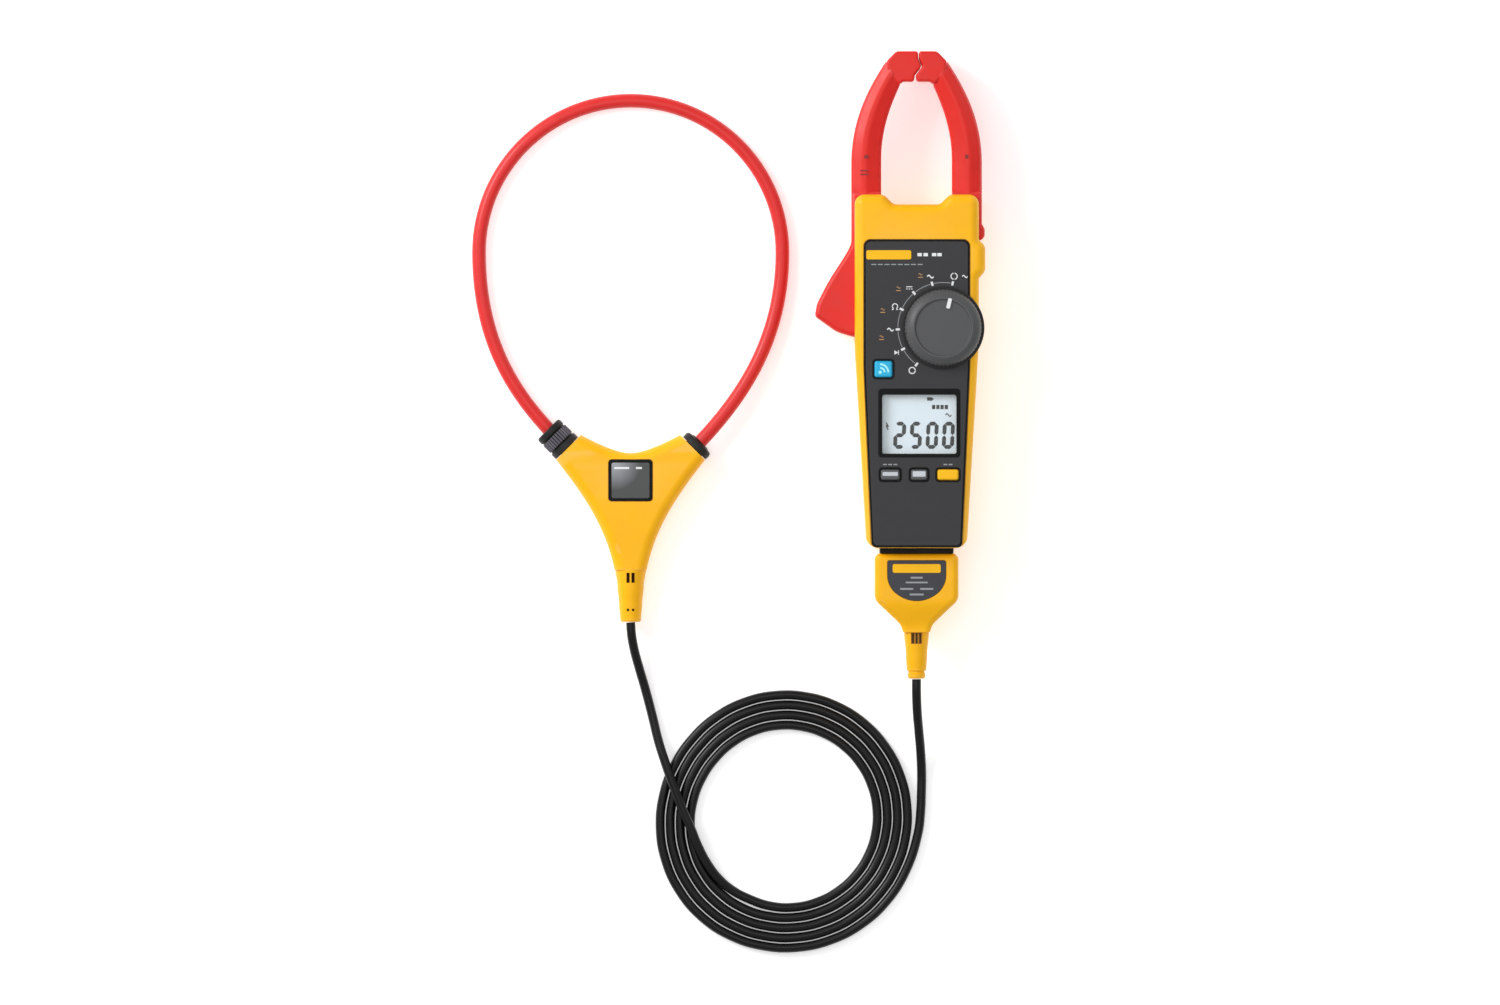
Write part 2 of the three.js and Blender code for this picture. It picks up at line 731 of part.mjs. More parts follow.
/** The plug's shells in plan, moved in by `inset`. `tail` lets the long edges run on past both ends. */
function plugOutline(inset = 0, tail = 0) {
  return rounded([
    [-5.9 + inset, PLUG.neck - tail],
    [5.9 - inset, PLUG.neck - tail],
    [7.2 - inset, -162.9, 8],
    [PLUG.half - inset, -150 + inset * 0.4, 6],
    [PLUG.half - inset, PLUG.top - inset + tail],
    [-PLUG.half + inset, PLUG.top - inset + tail],
    [-PLUG.half + inset, -150 + inset * 0.4, 6],
    [-7.2 + inset, -162.9, 8],
  ]);
}

function labelOutline(inset = 0) {
  return rounded([
    [-14.6 + inset, -144, 12],
    [0, -153.4 + inset, 16],
    [14.6 - inset, -144, 12],
    [14.6 - inset, -130.2 - inset, 1.2],
    [-14.6 + inset, -130.2 - inset, 1.2],
  ]);
}

function hollowPlug() {
  const low = PLUG.z - PLUG.halfDepth;
  const high = PLUG.z + PLUG.halfDepth;
  const ends = block([-40, PLUG.neck, -10], [40, PLUG.top, 40]);
  return cut(plate(plugOutline(0, 5), low, high, 3, 3).intersect(ends), [
    plate(plugOutline(2), low + 2.2, high - 2.2),
    plate(labelOutline(-GAP), high - 0.9, high + 1),
    drumY(0, PLUG.z, 3.2, -175, -160, 14),
    block([-9, -129, PLUG.z - 5], [9, -126, PLUG.z + 5]),
  ]);
}

const plugLabel = () => {
  const high = PLUG.z + PLUG.halfDepth;
  return plate(labelOutline(), high - 0.6, high + 0.1);
};

/** The plug's black face, its tongue into the meter, and the stem that the two shells hold. */
function plugNose() {
  return union([
    plate(rectangle(0, 0, 2 * NOSE.half, 2 * NOSE.halfDepth, 2), 0, 2, 0.4, 1)
      .rotate([90, 0, 0])
      .translate(0, NOSE.top, PLUG.z),
    block([-7, -125, PLUG.z - 3.6], [7, -116.4, PLUG.z + 3.6]),
    block([-8.5, -131, PLUG.z - 4.5], [8.5, -125, PLUG.z + 4.5]),
  ]);
}

const plugBoard = () => block([-10, -150, PLUG.z - 0.8], [10, -131.4, PLUG.z + 0.8]);

function plugBoot() {
  const body = neck(
    [
      [PLUG.neck - GAP, 6.3, 6.2],
      [-171, 5.8, 5.8],
      [-178, 5.2, 5.2],
      [-185.4, 4.8, 4.8],
      [-185.8, 4.1, 4.1],
      [-186.8, 4.1, 4.1],
      [-187.1, 4.4, 4.4],
      [PLUG.end, 4.1, 4.1],
    ],
    0,
    PLUG.z,
  );
  return cut(body, bootSlots(-171.5, 0, PLUG.z, 1.3, 4.6, 5.8));
}

/** Two pairs of slots through a boot's front and back, which let it bend. */
function bootSlots(y, x, z, half, depth, length) {
  return [-1, 1].flatMap((face) =>
    [-1, 1].map((side) => {
      const low = z + (face > 0 ? depth - 0.6 : -depth - 2);
      return block(
        [x + side * half - 0.7, y - length / 2, low],
        [x + side * half + 0.7, y + length / 2, low + 2.6],
      );
    }),
  );
}

// ---------------------------------------------------------------- the probe's handle and hoop
// All of it is drawn about the hoop's centre.

/** The handle's shells in plan, moved in by `inset`. `reach` lets the two arms run on past their end faces. */
function handleOutline(inset = 0, reach = 0) {
  const d = inset * Math.SQRT1_2;
  const a = HANDLE.arm * Math.SQRT1_2;
  const on = reach * Math.SQRT1_2;
  const flank = new THREE.CubicBezierCurve(
    new THREE.Vector2(5.2 - inset, HANDLE.end),
    new THREE.Vector2(6.3 - inset, -150),
    new THREE.Vector2(15.6 - inset, -132.5),
    new THREE.Vector2(HANDLE.armX + a - 2 * d, HANDLE.armY - a),
  );
  const brow = new THREE.QuadraticBezierCurve(
    new THREE.Vector2(HANDLE.armX - a - d + on, HANDLE.armY + a - inset * 0.7 + on),
    new THREE.Vector2(13 - on, -102.2 - inset),
    new THREE.Vector2(0, -102.2 - inset),
  );
  const arm = new THREE.Vector2(HANDLE.armX + a - 2 * d + on, HANDLE.armY - a + on);
  const right = [...flank.getPoints(16), arm, ...brow.getPoints(5)];
  const some = reach ? right : right.filter((p) => p !== arm);
  return mirrored(some.slice(0, -1)).filter((p) => p.y > HANDLE.boot - 12);
}

/** All that lies beyond an arm's end face. side is -1 for the left arm. */
const pastArm = (side) =>
  block([-14, 0, -20], [14, 30, 40])
    .rotate([0, 0, -side * 45])
    .translate(side * HANDLE.armX, HANDLE.armY, 0);

function hollowHandle() {
  const low = HANDLE.mid - HANDLE.half;
  const high = HANDLE.mid + HANDLE.half;
  const tail = block([-60, -250, -20], [60, HANDLE.boot, 40]);
  const holes = [
    plate(handleOutline(2.2), low + 2.2, high - 2.2),
    plate(rectangle(0, -115.2, 22.6, 21.4, 1.5), high - 1, high + 1),
    drumY(0, HANDLE.mid, 3.4, -170, -155, 16),
    armDrum(-1, 4.9, -14, 4, 16),
    armDrum(1, 5.7, -14, 4, 16),
  ];
  const body = plate(handleOutline(0, 6), low, high, 4, 3);
  return cut(body, [pastArm(-1), pastArm(1), tail, ...holes]);
}

/** A cylinder about an arm's axis, `from` and `to` beyond its end face. side is -1 for the left arm. */
function armDrum(side, r, from, to, sides = 20) {
  const length = to - from;
  const round = new THREE.CylinderGeometry(r, r, length, sides).translate(0, (from + to) / 2, 0);
  return toSolid(
    round.rotateZ((-side * Math.PI) / 4).translate(side * HANDLE.armX, HANDLE.armY, HANDLE.mid),
  );
}

const handleLabel = () => {
  const high = HANDLE.mid + HANDLE.half;
  return plate(rectangle(0, -115.2, 22, 20.8, 1.2), high - 0.7, high + 0.1);
};

const handleBoard = () => block([-9, -138, HANDLE.mid - 0.8], [9, -108, HANDLE.mid + 0.8]);

function handleBoot() {
  const body = neck(
    [
      [HANDLE.boot - GAP, 7.6, 7.3],
      [-168, 6.6, 6.6],
      [-177, 5.8, 5.8],
      [-185.6, 5.2, 5.2],
      [HANDLE.end, 4.9, 4.9],
    ],
    0,
    HANDLE.mid,
  );
  return cut(body, bootSlots(-163.8, 0, HANDLE.mid, 1.3, 6, 5));
}

/** A profile of [radius, distance along] turned about an arm's axis, outwards from its end face. */
const armTurned = (side, profile, sides = 20) =>
  turned(profile, sides)
    .rotate([-90, 0, 0])
    .rotate([0, 0, -side * 45])
    .translate(side * HANDLE.armX, HANDLE.armY, HANDLE.mid);

/** The collar that turns to lock the hoop's free end into the left arm. */
const lockCollar = () =>
  armTurned(-1, [
    [5.6, GAP],
    [7.8, GAP],
    [7.8, 3.6],
    [7, 4],
    [7, 10],
    [7.5, 10.4],
    [7.5, 13],
    [6.8, 13.8],
    [4.4, 13.8],
    [4.4, 11.4],
    [5.6, 11.4],
    [5.6, GAP],
  ]);

/** The ferrule on the hoop's free end, which the collar holds in the arm. */
const hoopFerrule = () =>
  armTurned(-1, [
    [0, -10],
    [4.5, -10],
    [4.5, 5],
    [5.3, 5],
    [5.3, 8],
    [4.5, 8],
    [4.5, 11],
    [3.8, 11],
    [3.8, 4],
    [0, 4],
  ]);

const fixedCollar = () =>
  armTurned(1, [
    [3.9, -8],
    [5.4, -8],
    [5.4, GAP],
    [8, GAP],
    [8, 3.4],
    [7.3, 4.2],
    [3.9, 4.2],
    [3.9, -8],
  ]);

/** The hoop's centre line from the left arm, up and round, and down into the right arm. */
function hoopCurve(leftStart, rightEnd) {
  const { r, rest, top } = HOOP;
  const side = top - r; // where along Y the hoop is widest
  const bend = 0.5523 * r; // how far a quarter circle's control points lie from its ends
  const arm = (sign, along, z) => [
    sign * (HANDLE.armX + along * Math.SQRT1_2),
    HANDLE.armY + along * Math.SQRT1_2,
    z,
  ];
  const path = new THREE.CurvePath();
  const add = (...points) => {
    path.add(new THREE.CubicBezierCurve3(...points.map((p) => new THREE.Vector3(...p))));
  };
  add(arm(-1, leftStart, HANDLE.mid), arm(-1, leftStart + 28, 8), [-r, -50, rest], [-r, side, rest]);
  add([-r, side, rest], [-r, side + bend, rest], [-bend, top, rest], [0, top, rest]);
  add([0, top, rest], [bend, top, rest], [r, side + bend, rest], [r, side, rest]);
  add([r, side, rest], [r, -50, rest], arm(1, rightEnd + 32, 8), arm(1, rightEnd, HANDLE.mid));
  return path;
}

const hoopTube = () => tube(hoopCurve(4.3, -5.7), HOOP.tube, 52, 8);

// ---------------------------------------------------------------- the probe's cable

// The cable's two free stretches. Where it isn't coiled, its route is a list of points.
const FROM_PLUG = [
  [0, -189.6, 18],
  [0, -196, 17.9],
  [0.4, -206, 15.6],
  [1.3, -216, 10.6],
  [2.2, -226, 5.6],
  [2.7, -236, 2.9],
  [2.6, -247, 2.4],
  [2.3, -255, 2.4],
];
const TO_HANDLE = [
  [-143, -161.3, 8.5],
  [-142.6, -167, 8.3],
  [-141.2, -175, 6.6],
  [-138.8, -184, 4.5],
  [-135.6, -195, 2.9],
  [-132.2, -208, 2.9],
  [-129, -221, 4.7],
  [-126, -230.5, 6.6],
  [-121.8, -242.5, 7.4],
  [-117.2, -254.5, 7.4],
  [-112.8, -264.5, 7.4],
];

/** The coil's outer shape: a flat ring whose hole lies a little above its middle. */
function coilRing() {
  const circle = (x, y, r, n) =>
    Array.from({ length: n }, (_, k) => {
      const a = (k * 2 * Math.PI) / n;
      return new THREE.Vector2(x + r * Math.cos(a), y + r * Math.sin(a));
    });
  const shape = new THREE.Shape(circle(COIL.x, COIL.y + COIL.shift, COIL.outer, 48));
  shape.holes.push(new THREE.Path(circle(COIL.x, COIL.y, COIL.hole, 40)));
  return toSolid(new THREE.ExtrudeGeometry(shape, { depth: COIL.high, bevelEnabled: false }));
}

// ---------------------------------------------------------------- assembly

function meter() {
  const hollow = hollowCase();
  const moving = movingJaw();
  const fixed = fixedJaw();
  const upper = above(CASE.split + SEAM);
  const lower = below(CASE.split - SEAM);
  const group = new THREE.Group();
  group.add(
    toMesh("front_case", frontCase(hollow), YELLOW),
    toMesh("back_case", backCase(hollow), YELLOW),
    toMesh("front_panel", frontPanel(), CHARCOAL),
    toMesh("display_window", displayWindow(), CLEAR),
    toMesh("lcd_module", lcdModule(), SCREEN_GREY),
    toMesh("lcd_holder", lcdHolder(), BLACK),
    toMesh("zebra_strip", zebraStrip(), SILICONE),
    toMesh("main_board", mainBoard(), GREEN),
    toMesh("keypad_mat", keypadMat(), SILICONE),
    toMesh("radio_key_dome", radioDome(), SILICONE),
    toMesh("fixed_jaw_front", fixed.shell.intersect(upper), RED),
    toMesh("fixed_jaw_back", fixed.shell.intersect(lower), RED),
    toMesh("fixed_core", fixed.core, FERRITE),
    toMesh("jaw_dowel", jawDowel(), STEEL),
    toMesh("moving_jaw_front", moving.shell.intersect(upper), RED),
    toMesh("moving_jaw_back", moving.shell.intersect(lower), RED),
    toMesh("moving_core", moving.core, FERRITE),
    toMesh("pivot_pin", pivotPin(), STEEL),
    toMesh("jaw_spring", jawSpring(), STEEL),
    toMesh("dial_knob", dialKnob(), KNOB_GREY),
    toMesh("dial_pointer", dialPointer(), WHITE),
    toMesh("dial_rotor", dialRotor(), BRASS),
    toMesh("socket_block", socketBlock(), BLACK),
    toMesh("common_jack", jackSleeve(-JACK.x), BRASS),
    toMesh("volt_jack", jackSleeve(JACK.x), BRASS),
    toMesh("cell_1", cell(-CELL.x, true), CELL_WRAP),
    toMesh("cell_2", cell(CELL.x, false), CELL_WRAP),
    toMesh("cell_link", contactStrip(-109.9), STEEL),
    toMesh("cell_contact_1", contactTab(-CELL.x, -57.4), STEEL),
    toMesh("cell_contact_2", contactTab(CELL.x, -57.4), STEEL),
    toMesh("battery_door", batteryDoor(), YELLOW),
  );
  const keyFinish = {
    record_key: KEY_GREY,
    hold_key: KEY_GREY,
    zero_key: YELLOW,
    radio_key: TEAL,
  };
  for (const [name, key] of Object.entries(KEYS)) group.add(toMesh(name, keyCap(key), keyFinish[name]));
  SCREWS.forEach((at, i) => group.add(toMesh(`case_screw_${i + 1}`, caseScrew(at), STEEL)));
  DOOR_SCREWS.forEach((y, i) => group.add(toMesh(`door_screw_${i + 1}`, doorScrew(y), STEEL)));
  return group;
}

function plug() {
  const hollow = hollowPlug();
  const group = new THREE.Group();
  group.add(
    toMesh("plug_front_shell", hollow.intersect(above(PLUG.z + SEAM)), YELLOW),
    toMesh("plug_back_shell", hollow.intersect(below(PLUG.z - SEAM)), YELLOW),
    toMesh("plug_label", plugLabel(), CHARCOAL),
    toMesh("plug_nose", plugNose(), BLACK),
    toMesh("plug_board", plugBoard(), GREEN),
    toMesh("plug_boot", plugBoot(), YELLOW),
  );
  return group;
}

function handle() {
  const hollow = hollowHandle();
  const group = new THREE.Group();
  group.position.set(HOOP.x, HOOP.y, 0);
  group.add(
    toMesh("handle_front_shell", hollow.intersect(above(HANDLE.mid + SEAM)), YELLOW),
    toMesh("handle_back_shell", hollow.intersect(below(HANDLE.mid - SEAM)), YELLOW),
    toMesh("handle_label", handleLabel(), CHARCOAL),
    toMesh("handle_board", handleBoard(), GREEN),
    toMesh("handle_boot", handleBoot(), YELLOW),
    toMesh("lock_collar", lockCollar(), BLACK),
    toMesh("hoop_ferrule", hoopFerrule(), BLACK),
    toMesh("fixed_collar", fixedCollar(), BLACK),
    toMesh("sensor_hoop", hoopTube(), HOOP_RED),
  );
  return group;
}

function cable() {
  const group = new THREE.Group();
  group.add(
    toMesh("cord_from_plug", tube(curve3(FROM_PLUG), CORD.r, 24, 8), CORD_BLACK),
    toMesh("cord_coil", coilRing(), CORD_BLACK),
    toMesh("cord_to_handle", tube(curve3(TO_HANDLE), CORD.r, 30, 8), CORD_BLACK),
  );
  return group;
}

const clampMeter = new THREE.Group();
clampMeter.add(meter(), plug(), handle(), cable());

export default clampMeter;
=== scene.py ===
"""The looks of a clamp meter and its plug-in flexible current probe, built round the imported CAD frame.

Lengths are in millimetres, in the row's own frame, and are turned into metres where a mesh is made.
"""

import json
import math

import bmesh
import bpy
from mathutils import Matrix, Vector


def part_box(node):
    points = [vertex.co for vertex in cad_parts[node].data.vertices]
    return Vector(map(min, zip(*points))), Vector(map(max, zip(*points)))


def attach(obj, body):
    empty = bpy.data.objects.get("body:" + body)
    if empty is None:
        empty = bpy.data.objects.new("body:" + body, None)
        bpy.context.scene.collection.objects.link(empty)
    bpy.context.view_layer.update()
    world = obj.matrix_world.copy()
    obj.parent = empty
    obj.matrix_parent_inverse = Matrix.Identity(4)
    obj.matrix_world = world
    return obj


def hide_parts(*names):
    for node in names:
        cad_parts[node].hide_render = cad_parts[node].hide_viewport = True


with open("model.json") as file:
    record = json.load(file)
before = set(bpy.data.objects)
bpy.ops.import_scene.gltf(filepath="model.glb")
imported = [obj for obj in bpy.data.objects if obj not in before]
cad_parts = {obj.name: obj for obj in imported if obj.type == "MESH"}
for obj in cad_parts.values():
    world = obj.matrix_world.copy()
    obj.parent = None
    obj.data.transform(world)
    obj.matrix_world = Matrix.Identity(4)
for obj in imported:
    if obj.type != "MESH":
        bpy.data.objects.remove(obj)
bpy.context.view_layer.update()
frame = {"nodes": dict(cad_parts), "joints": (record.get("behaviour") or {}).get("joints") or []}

MM = 0.001
JOINTS = {joint["name"]: joint for joint in frame["joints"]}


def place(node):
    """A CAD node's lowest and highest corners, in millimetres."""
    low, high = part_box(node)
    return Vector(low) / MM, Vector(high) / MM


def middle(node):
    low, high = place(node)
    return (low + high) / 2


def linked(name, data):
    """A new object in the scene."""
    made = bpy.data.objects.new(name, data)
    bpy.context.collection.objects.link(made)
    return made


# ---------------------------------------------------------------- driving dimensions

SPLIT = 18  # height of the joint between the meter's two case halves
CASE_TOP = 52.5
CASE_LOW = -124
CASE_HALF = 31
CASE_LOW_HALF = 25.1
WAIST = -22
JAW_OUT = 32.6
JAW_IN = 17.7
HOOP_AT = Vector((-143, 25, 0))
HOOP_R = 76
HOOP_TUBE = 3.45
HOOP_REST = 3.55
ARM = Vector((31.6, -99.3))
HANDLE_MID = 8.5
CORD_R = 2.3
COIL_AT = Vector((-65.25, -258.5, 0))

# ---------------------------------------------------------------- camera, light and floor

CAMERA_UP = 8000
VIEW_WIDTH = 750  # of the photograph's frame, at the height of the jaws
VIEW_AT = (-83.25, -101.25)


def make_camera():
    camera = linked("camera", bpy.data.cameras.new("camera"))
    camera.data.sensor_width = 36
    camera.data.lens = 36 * (CAMERA_UP - SPLIT) / VIEW_WIDTH
    camera.data.clip_end = 20
    camera.location = (VIEW_AT[0] * MM, VIEW_AT[1] * MM, CAMERA_UP * MM)
    bpy.context.scene.camera = camera


def make_light(name, at, aim, size, power):
    lamp = bpy.data.lights.new(name, "AREA")
    lamp.shape = "RECTANGLE"
    lamp.size, lamp.size_y = size
    lamp.energy = power
    holder = linked(name, lamp)
    holder.location = at
    holder.rotation_euler = (Vector(aim) - Vector(at)).to_track_quat("-Z", "Y").to_euler()


def make_studio():
    world = bpy.data.worlds.new("studio")
    world.use_nodes = True
    background = world.node_tree.nodes["Background"]
    background.inputs["Color"].default_value = (1, 1, 1, 1)
    background.inputs["Strength"].default_value = 0.52
    bpy.context.scene.world = world
    bpy.context.scene.view_settings.view_transform = "Standard"
    make_light("key", (-1.1, 0.55, 0.85), (-0.05, -0.05, 0), (0.6, 0.7), 13.5)
    make_light("top", (-0.2, 0.1, 1.7), (-0.08, -0.1, 0), (0.9, 0.9), 4)
    make_light("rim", (0.9, 0.5, 0.7), (0, 0, 0), (0.4, 0.9), 1)


def make_floor():
    bpy.ops.mesh.primitive_plane_add(size=6, location=(VIEW_AT[0] * MM, VIEW_AT[1] * MM, -0.0003))
    floor = bpy.context.object
    floor.name = "floor"
    floor.data.materials.append(FLOOR)


# ---------------------------------------------------------------- materials


def linear(red, green, blue):
    """A colour given as it looks on a screen, from 0 to 255, as the shader's linear numbers."""
    return tuple(
        v / 12.92 if v <= 0.04045 else ((v + 0.055) / 1.055) ** 2.4
        for v in (red / 255, green / 255, blue / 255)
    )


def scaled(colour, by):
    return tuple(min(1, c * by) for c in colour) + (1,)


class Recipe:
    """A material under construction: a Principled shader, and the nodes that feed it."""

    def __init__(self, name, colour, roughness, **sockets):
        self.material = bpy.data.materials.new(name)
        self.material.use_nodes = True
        self.nodes = self.material.node_tree.nodes
        self.links = self.material.node_tree.links
        self.shader = self.nodes["Principled BSDF"]
        self.material.diffuse_color = (*colour, 1)
        self.set("Base Color", (*colour, 1))
        self.set("Roughness", roughness)
        for socket, value in sockets.items():
            self.set(socket.replace("_", " "), value)
        self.where = self.nodes.new("ShaderNodeTexCoord").outputs["Object"]

    def set(self, socket, value):
        self.shader.inputs[socket].default_value = value

    def node(self, kind, inputs=(), **settings):
        made = self.nodes.new("ShaderNode" + kind)
        for key, value in settings.items():
            setattr(made, key, value)
        for key, value in dict(inputs).items():
            if isinstance(value, bpy.types.NodeSocket):
                self.links.new(value, made.inputs[key])
            else:
                made.inputs[key].default_value = value
        return made

    def noise(self, size_mm, detail=2, roughness=0.5):
        """Noise whose grains are about size_mm across."""
        inputs = {
            "Vector": self.where,
            "Scale": 1 / (size_mm * MM),
            "Detail": detail,
            "Roughness": roughness,
        }
        return self.node("TexNoise", inputs).outputs["Fac"]

    def ramp(self, factor, *stops):
        """A colour ramp through (position, colour) stops."""
        made = self.node("ValToRGB", {"Fac": factor})
        elements = made.color_ramp.elements
        while len(elements) < len(stops):
            elements.new(1)
        for element, (position, colour) in zip(elements, stops):
            element.position = position
            element.color = colour
        return made.outputs["Color"]

    def spread(self, factor, low, high):
        """The factor's middle half, from 0.3 to 0.7, mapped to low..high."""
        inputs = {"Value": factor, "From Min": 0.3, "From Max": 0.7, "To Min": low, "To Max": high}
        return self.node("MapRange", inputs).outputs["Result"]

    def feed(self, socket, source):
        self.links.new(source, self.shader.inputs[socket])

    def bump(self, height, depth_mm, strength):
        inputs = {"Height": height, "Distance": depth_mm * MM, "Strength": strength}
        return self.node("Bump", inputs).outputs["Normal"]


def moulded(name, colour, roughness, grain=0.35, depth=0.03, mottle=0.05, wear=0.10, **sockets):
    """Moulded plastic: a spark-eroded grain, a slow mottle in its colour, and paler rubbed edges."""
    recipe = Recipe(name, colour, roughness, **sockets)
    slow = recipe.noise(9, 3)
    mottled = recipe.ramp(
        slow, (0.3, scaled(colour, 1 - mottle)), (0.7, scaled(colour, 1 + mottle))
    )
    point = recipe.node("NewGeometry").outputs["Pointiness"]
    rubbed = recipe.node(
        "MapRange", {"Value": point, "From Min": 0.515, "From Max": 0.6, "To Max": wear}
    ).outputs["Result"]
    pale = tuple(c + (1 - c) * 0.5 for c in colour) + (1,)
    worn = recipe.node(
        "Mix", {"Factor": rubbed, "A": mottled, "B": pale}, data_type="RGBA"
    ).outputs["Result"]
    recipe.feed("Base Color", worn)
    fine = recipe.noise(grain, 3, 0.6)
    recipe.feed("Roughness", recipe.spread(slow, roughness - 0.05, roughness + 0.05))
    recipe.feed("Normal", recipe.bump(fine, depth, 0.35))
    return recipe.material


def metal(name, colour, roughness):
    """Machined metal with fine turning lines."""
    recipe = Recipe(name, colour, roughness, Metallic=1.0)
    lines = recipe.node(
        "TexWave",
        {"Vector": recipe.where, "Scale": 900, "Distortion": 1.5, "Detail": 2},
        bands_direction="Z",
    ).outputs["Fac"]
    recipe.feed("Roughness", recipe.spread(lines, roughness - 0.06, roughness + 0.08))
    recipe.feed("Normal", recipe.bump(lines, 0.01, 0.3))
    return recipe.material


def floor_paint():
    recipe = Recipe("floor_paint", (0.93, 0.93, 0.93), 0.7)
    slow = recipe.noise(300, 2)
    recipe.feed("Base Color", recipe.ramp(slow, (0.3, (0.92, 0.92, 0.92, 1)), (0.7, (0.94, 0.94, 0.94, 1))))
    recipe.set("Specular IOR Level", 0.2)
    recipe.set("Emission Color", (1, 1, 1, 1))
    recipe.set("Emission Strength", 0.4)
    return recipe.material


def clear_plastic():
    recipe = Recipe("clear_plastic", (0.9, 0.93, 0.94), 0.06)
    recipe.set("Alpha", 0.05)
    recipe.feed("Roughness", recipe.spread(recipe.noise(6, 3), 0.04, 0.1))
    return recipe.material


def painted_sheen_face(name, colour, pale, corner, reach):
    """A dark label face with a painted sheen, paler towards one corner, over `reach` millimetres."""
    recipe = Recipe(name, colour, 0.3)
    scale = 1 / (reach * MM)
    near = recipe.node(
        "Mapping",
        {
            "Vector": recipe.where,
            "Location": (-corner.x * MM * scale, -corner.y * MM * scale, 0),
            "Scale": (scale, scale, 0),
        },
    ).outputs["Vector"]
    glow = recipe.node("TexGradient", {"Vector": near}, gradient_type="SPHERICAL").outputs["Fac"]
    recipe.feed("Base Color", recipe.ramp(glow, (0.0, (*colour, 1)), (0.9, (*pale, 1))))
    recipe.feed("Normal", recipe.bump(recipe.noise(0.3, 3), 0.015, 0.3))
    return recipe.material


FLOOR = floor_paint()
YELLOW = moulded("yellow_shell", linear(253, 185, 0), 0.4, depth=0.02, mottle=0.03, Specular_IOR_Level=0.3)
RED = moulded("red_jaw", linear(222, 32, 22), 0.38, depth=0.02, mottle=0.04, Specular_IOR_Level=0.35)
RED_DARK = moulded("red_mark", linear(132, 16, 14), 0.4, wear=0)
HOOP_RED = moulded(
    "red_hoop", linear(216, 38, 36), 0.38, grain=0.5, mottle=0.04, wear=0, Specular_IOR_Level=0.4
)
CHARCOAL = moulded(
    "charcoal_overlay", linear(52, 52, 54), 0.5, grain=0.25, depth=0.015, mottle=0.08, Specular_IOR_Level=0.3
)
KNOB_GREY = moulded("knob_grey", linear(76, 77, 78), 0.44, grain=0.3, mottle=0.05, Specular_IOR_Level=0.4)
# Paler than the black collar: a painted highlight for the light its ribs catch.
GRIP_PAINTED_HIGHLIGHT = moulded("collar_grip_painted_highlight", linear(84, 80, 92), 0.3, mottle=0.1)
BLACK = moulded("black_plastic", linear(8, 8, 9), 0.42, mottle=0.2, Specular_IOR_Level=0.14)
INSET = moulded("label_face", linear(56, 57, 64), 0.34, grain=0.3, mottle=0.12, Specular_IOR_Level=0.3)
KEY_GREY = moulded("key_grey", linear(84, 85, 88), 0.55, mottle=0.05)
KEY_PALE = moulded("key_pale", linear(196, 200, 208), 0.55, mottle=0.05)
KEY_YELLOW = moulded("key_yellow", linear(252, 190, 10), 0.5, mottle=0.04, Specular_IOR_Level=0.3)
KEY_BLUE = moulded("key_blue", linear(18, 176, 222), 0.42, mottle=0.06)
SKY = moulded("key_blue_mark", linear(168, 244, 252), 0.4, wear=0)
INK = moulded("white_ink", linear(232, 235, 235), 0.5, grain=0.2, wear=0)
INK_DIM = moulded("grey_ink", linear(150, 154, 158), 0.5, grain=0.2, wear=0)
INK_ORANGE = moulded("orange_ink", linear(186, 138, 88), 0.5, grain=0.2, wear=0)
INK_DARK = moulded("segment_ink", linear(6, 7, 8), 0.6, grain=0.2, wear=0, Specular_IOR_Level=0.1)
SCREEN = moulded("screen_glass", linear(222, 236, 244), 0.3, grain=0.5, depth=0.004, mottle=0.02, wear=0)
WINDOW = clear_plastic()
BOARD = moulded("board_green", linear(24, 96, 52), 0.45, mottle=0.15)
SILICONE = moulded("silicone", linear(196, 196, 190), 0.7, mottle=0.06)
STEEL = metal("steel", (0.62, 0.63, 0.64), 0.3)
BRASS = metal("brass", (0.78, 0.58, 0.24), 0.28)
CORE = metal("core_laminations", (0.16, 0.16, 0.17), 0.5)
CELL = moulded("cell_sleeve", linear(42, 78, 128), 0.3, mottle=0.05)
CORD = moulded("cord_jacket", linear(6, 6, 7), 0.34, grain=0.5, mottle=0.15, wear=0, Specular_IOR_Level=0.3)
# Painted shade: dark brown for the bottoms of the boots' slots and dots, darker yellow for the plug boot's
# recess floor.
PAINTED_SLOT_SHADE = moulded("boot_slot_painted_shade", linear(62, 38, 2), 0.6, mottle=0.1, wear=0, Specular_IOR_Level=0.2)
PAINTED_RECESS_SHADE = moulded("boot_recess_painted_shade", linear(168, 112, 8), 0.6, mottle=0.1, wear=0)

# ---------------------------------------------------------------- mesh code


def finish_mesh(name, mesh, material, smooth_deg=32):
    """Links a mesh, smooths it up to an angle, and keeps its flat faces flat."""
    for polygon in mesh.polygons:
        polygon.use_smooth = True
    mesh.set_sharp_from_angle(angle=math.radians(smooth_deg))
    mesh.materials.clear()
    mesh.materials.append(material)
    made = linked(name, mesh)
    flat = made.modifiers.new("flat_faces", "WEIGHTED_NORMAL")
    flat.keep_sharp = True
    return made


def opened(mesh):
    bm = bmesh.new()
    bm.from_mesh(mesh)
    return bm


def stored(bm, mesh):
    """Writes a bmesh into a mesh, and frees it."""
    bm.to_mesh(mesh)
    bm.free()
    return mesh


def from_bmesh(name, bm, material, smooth_deg=32):
    bmesh.ops.remove_doubles(bm, verts=bm.verts, dist=1e-6)
    bmesh.ops.recalc_face_normals(bm, faces=bm.faces)
    return finish_mesh(name, stored(bm, bpy.data.meshes.new(name)), material, smooth_deg)


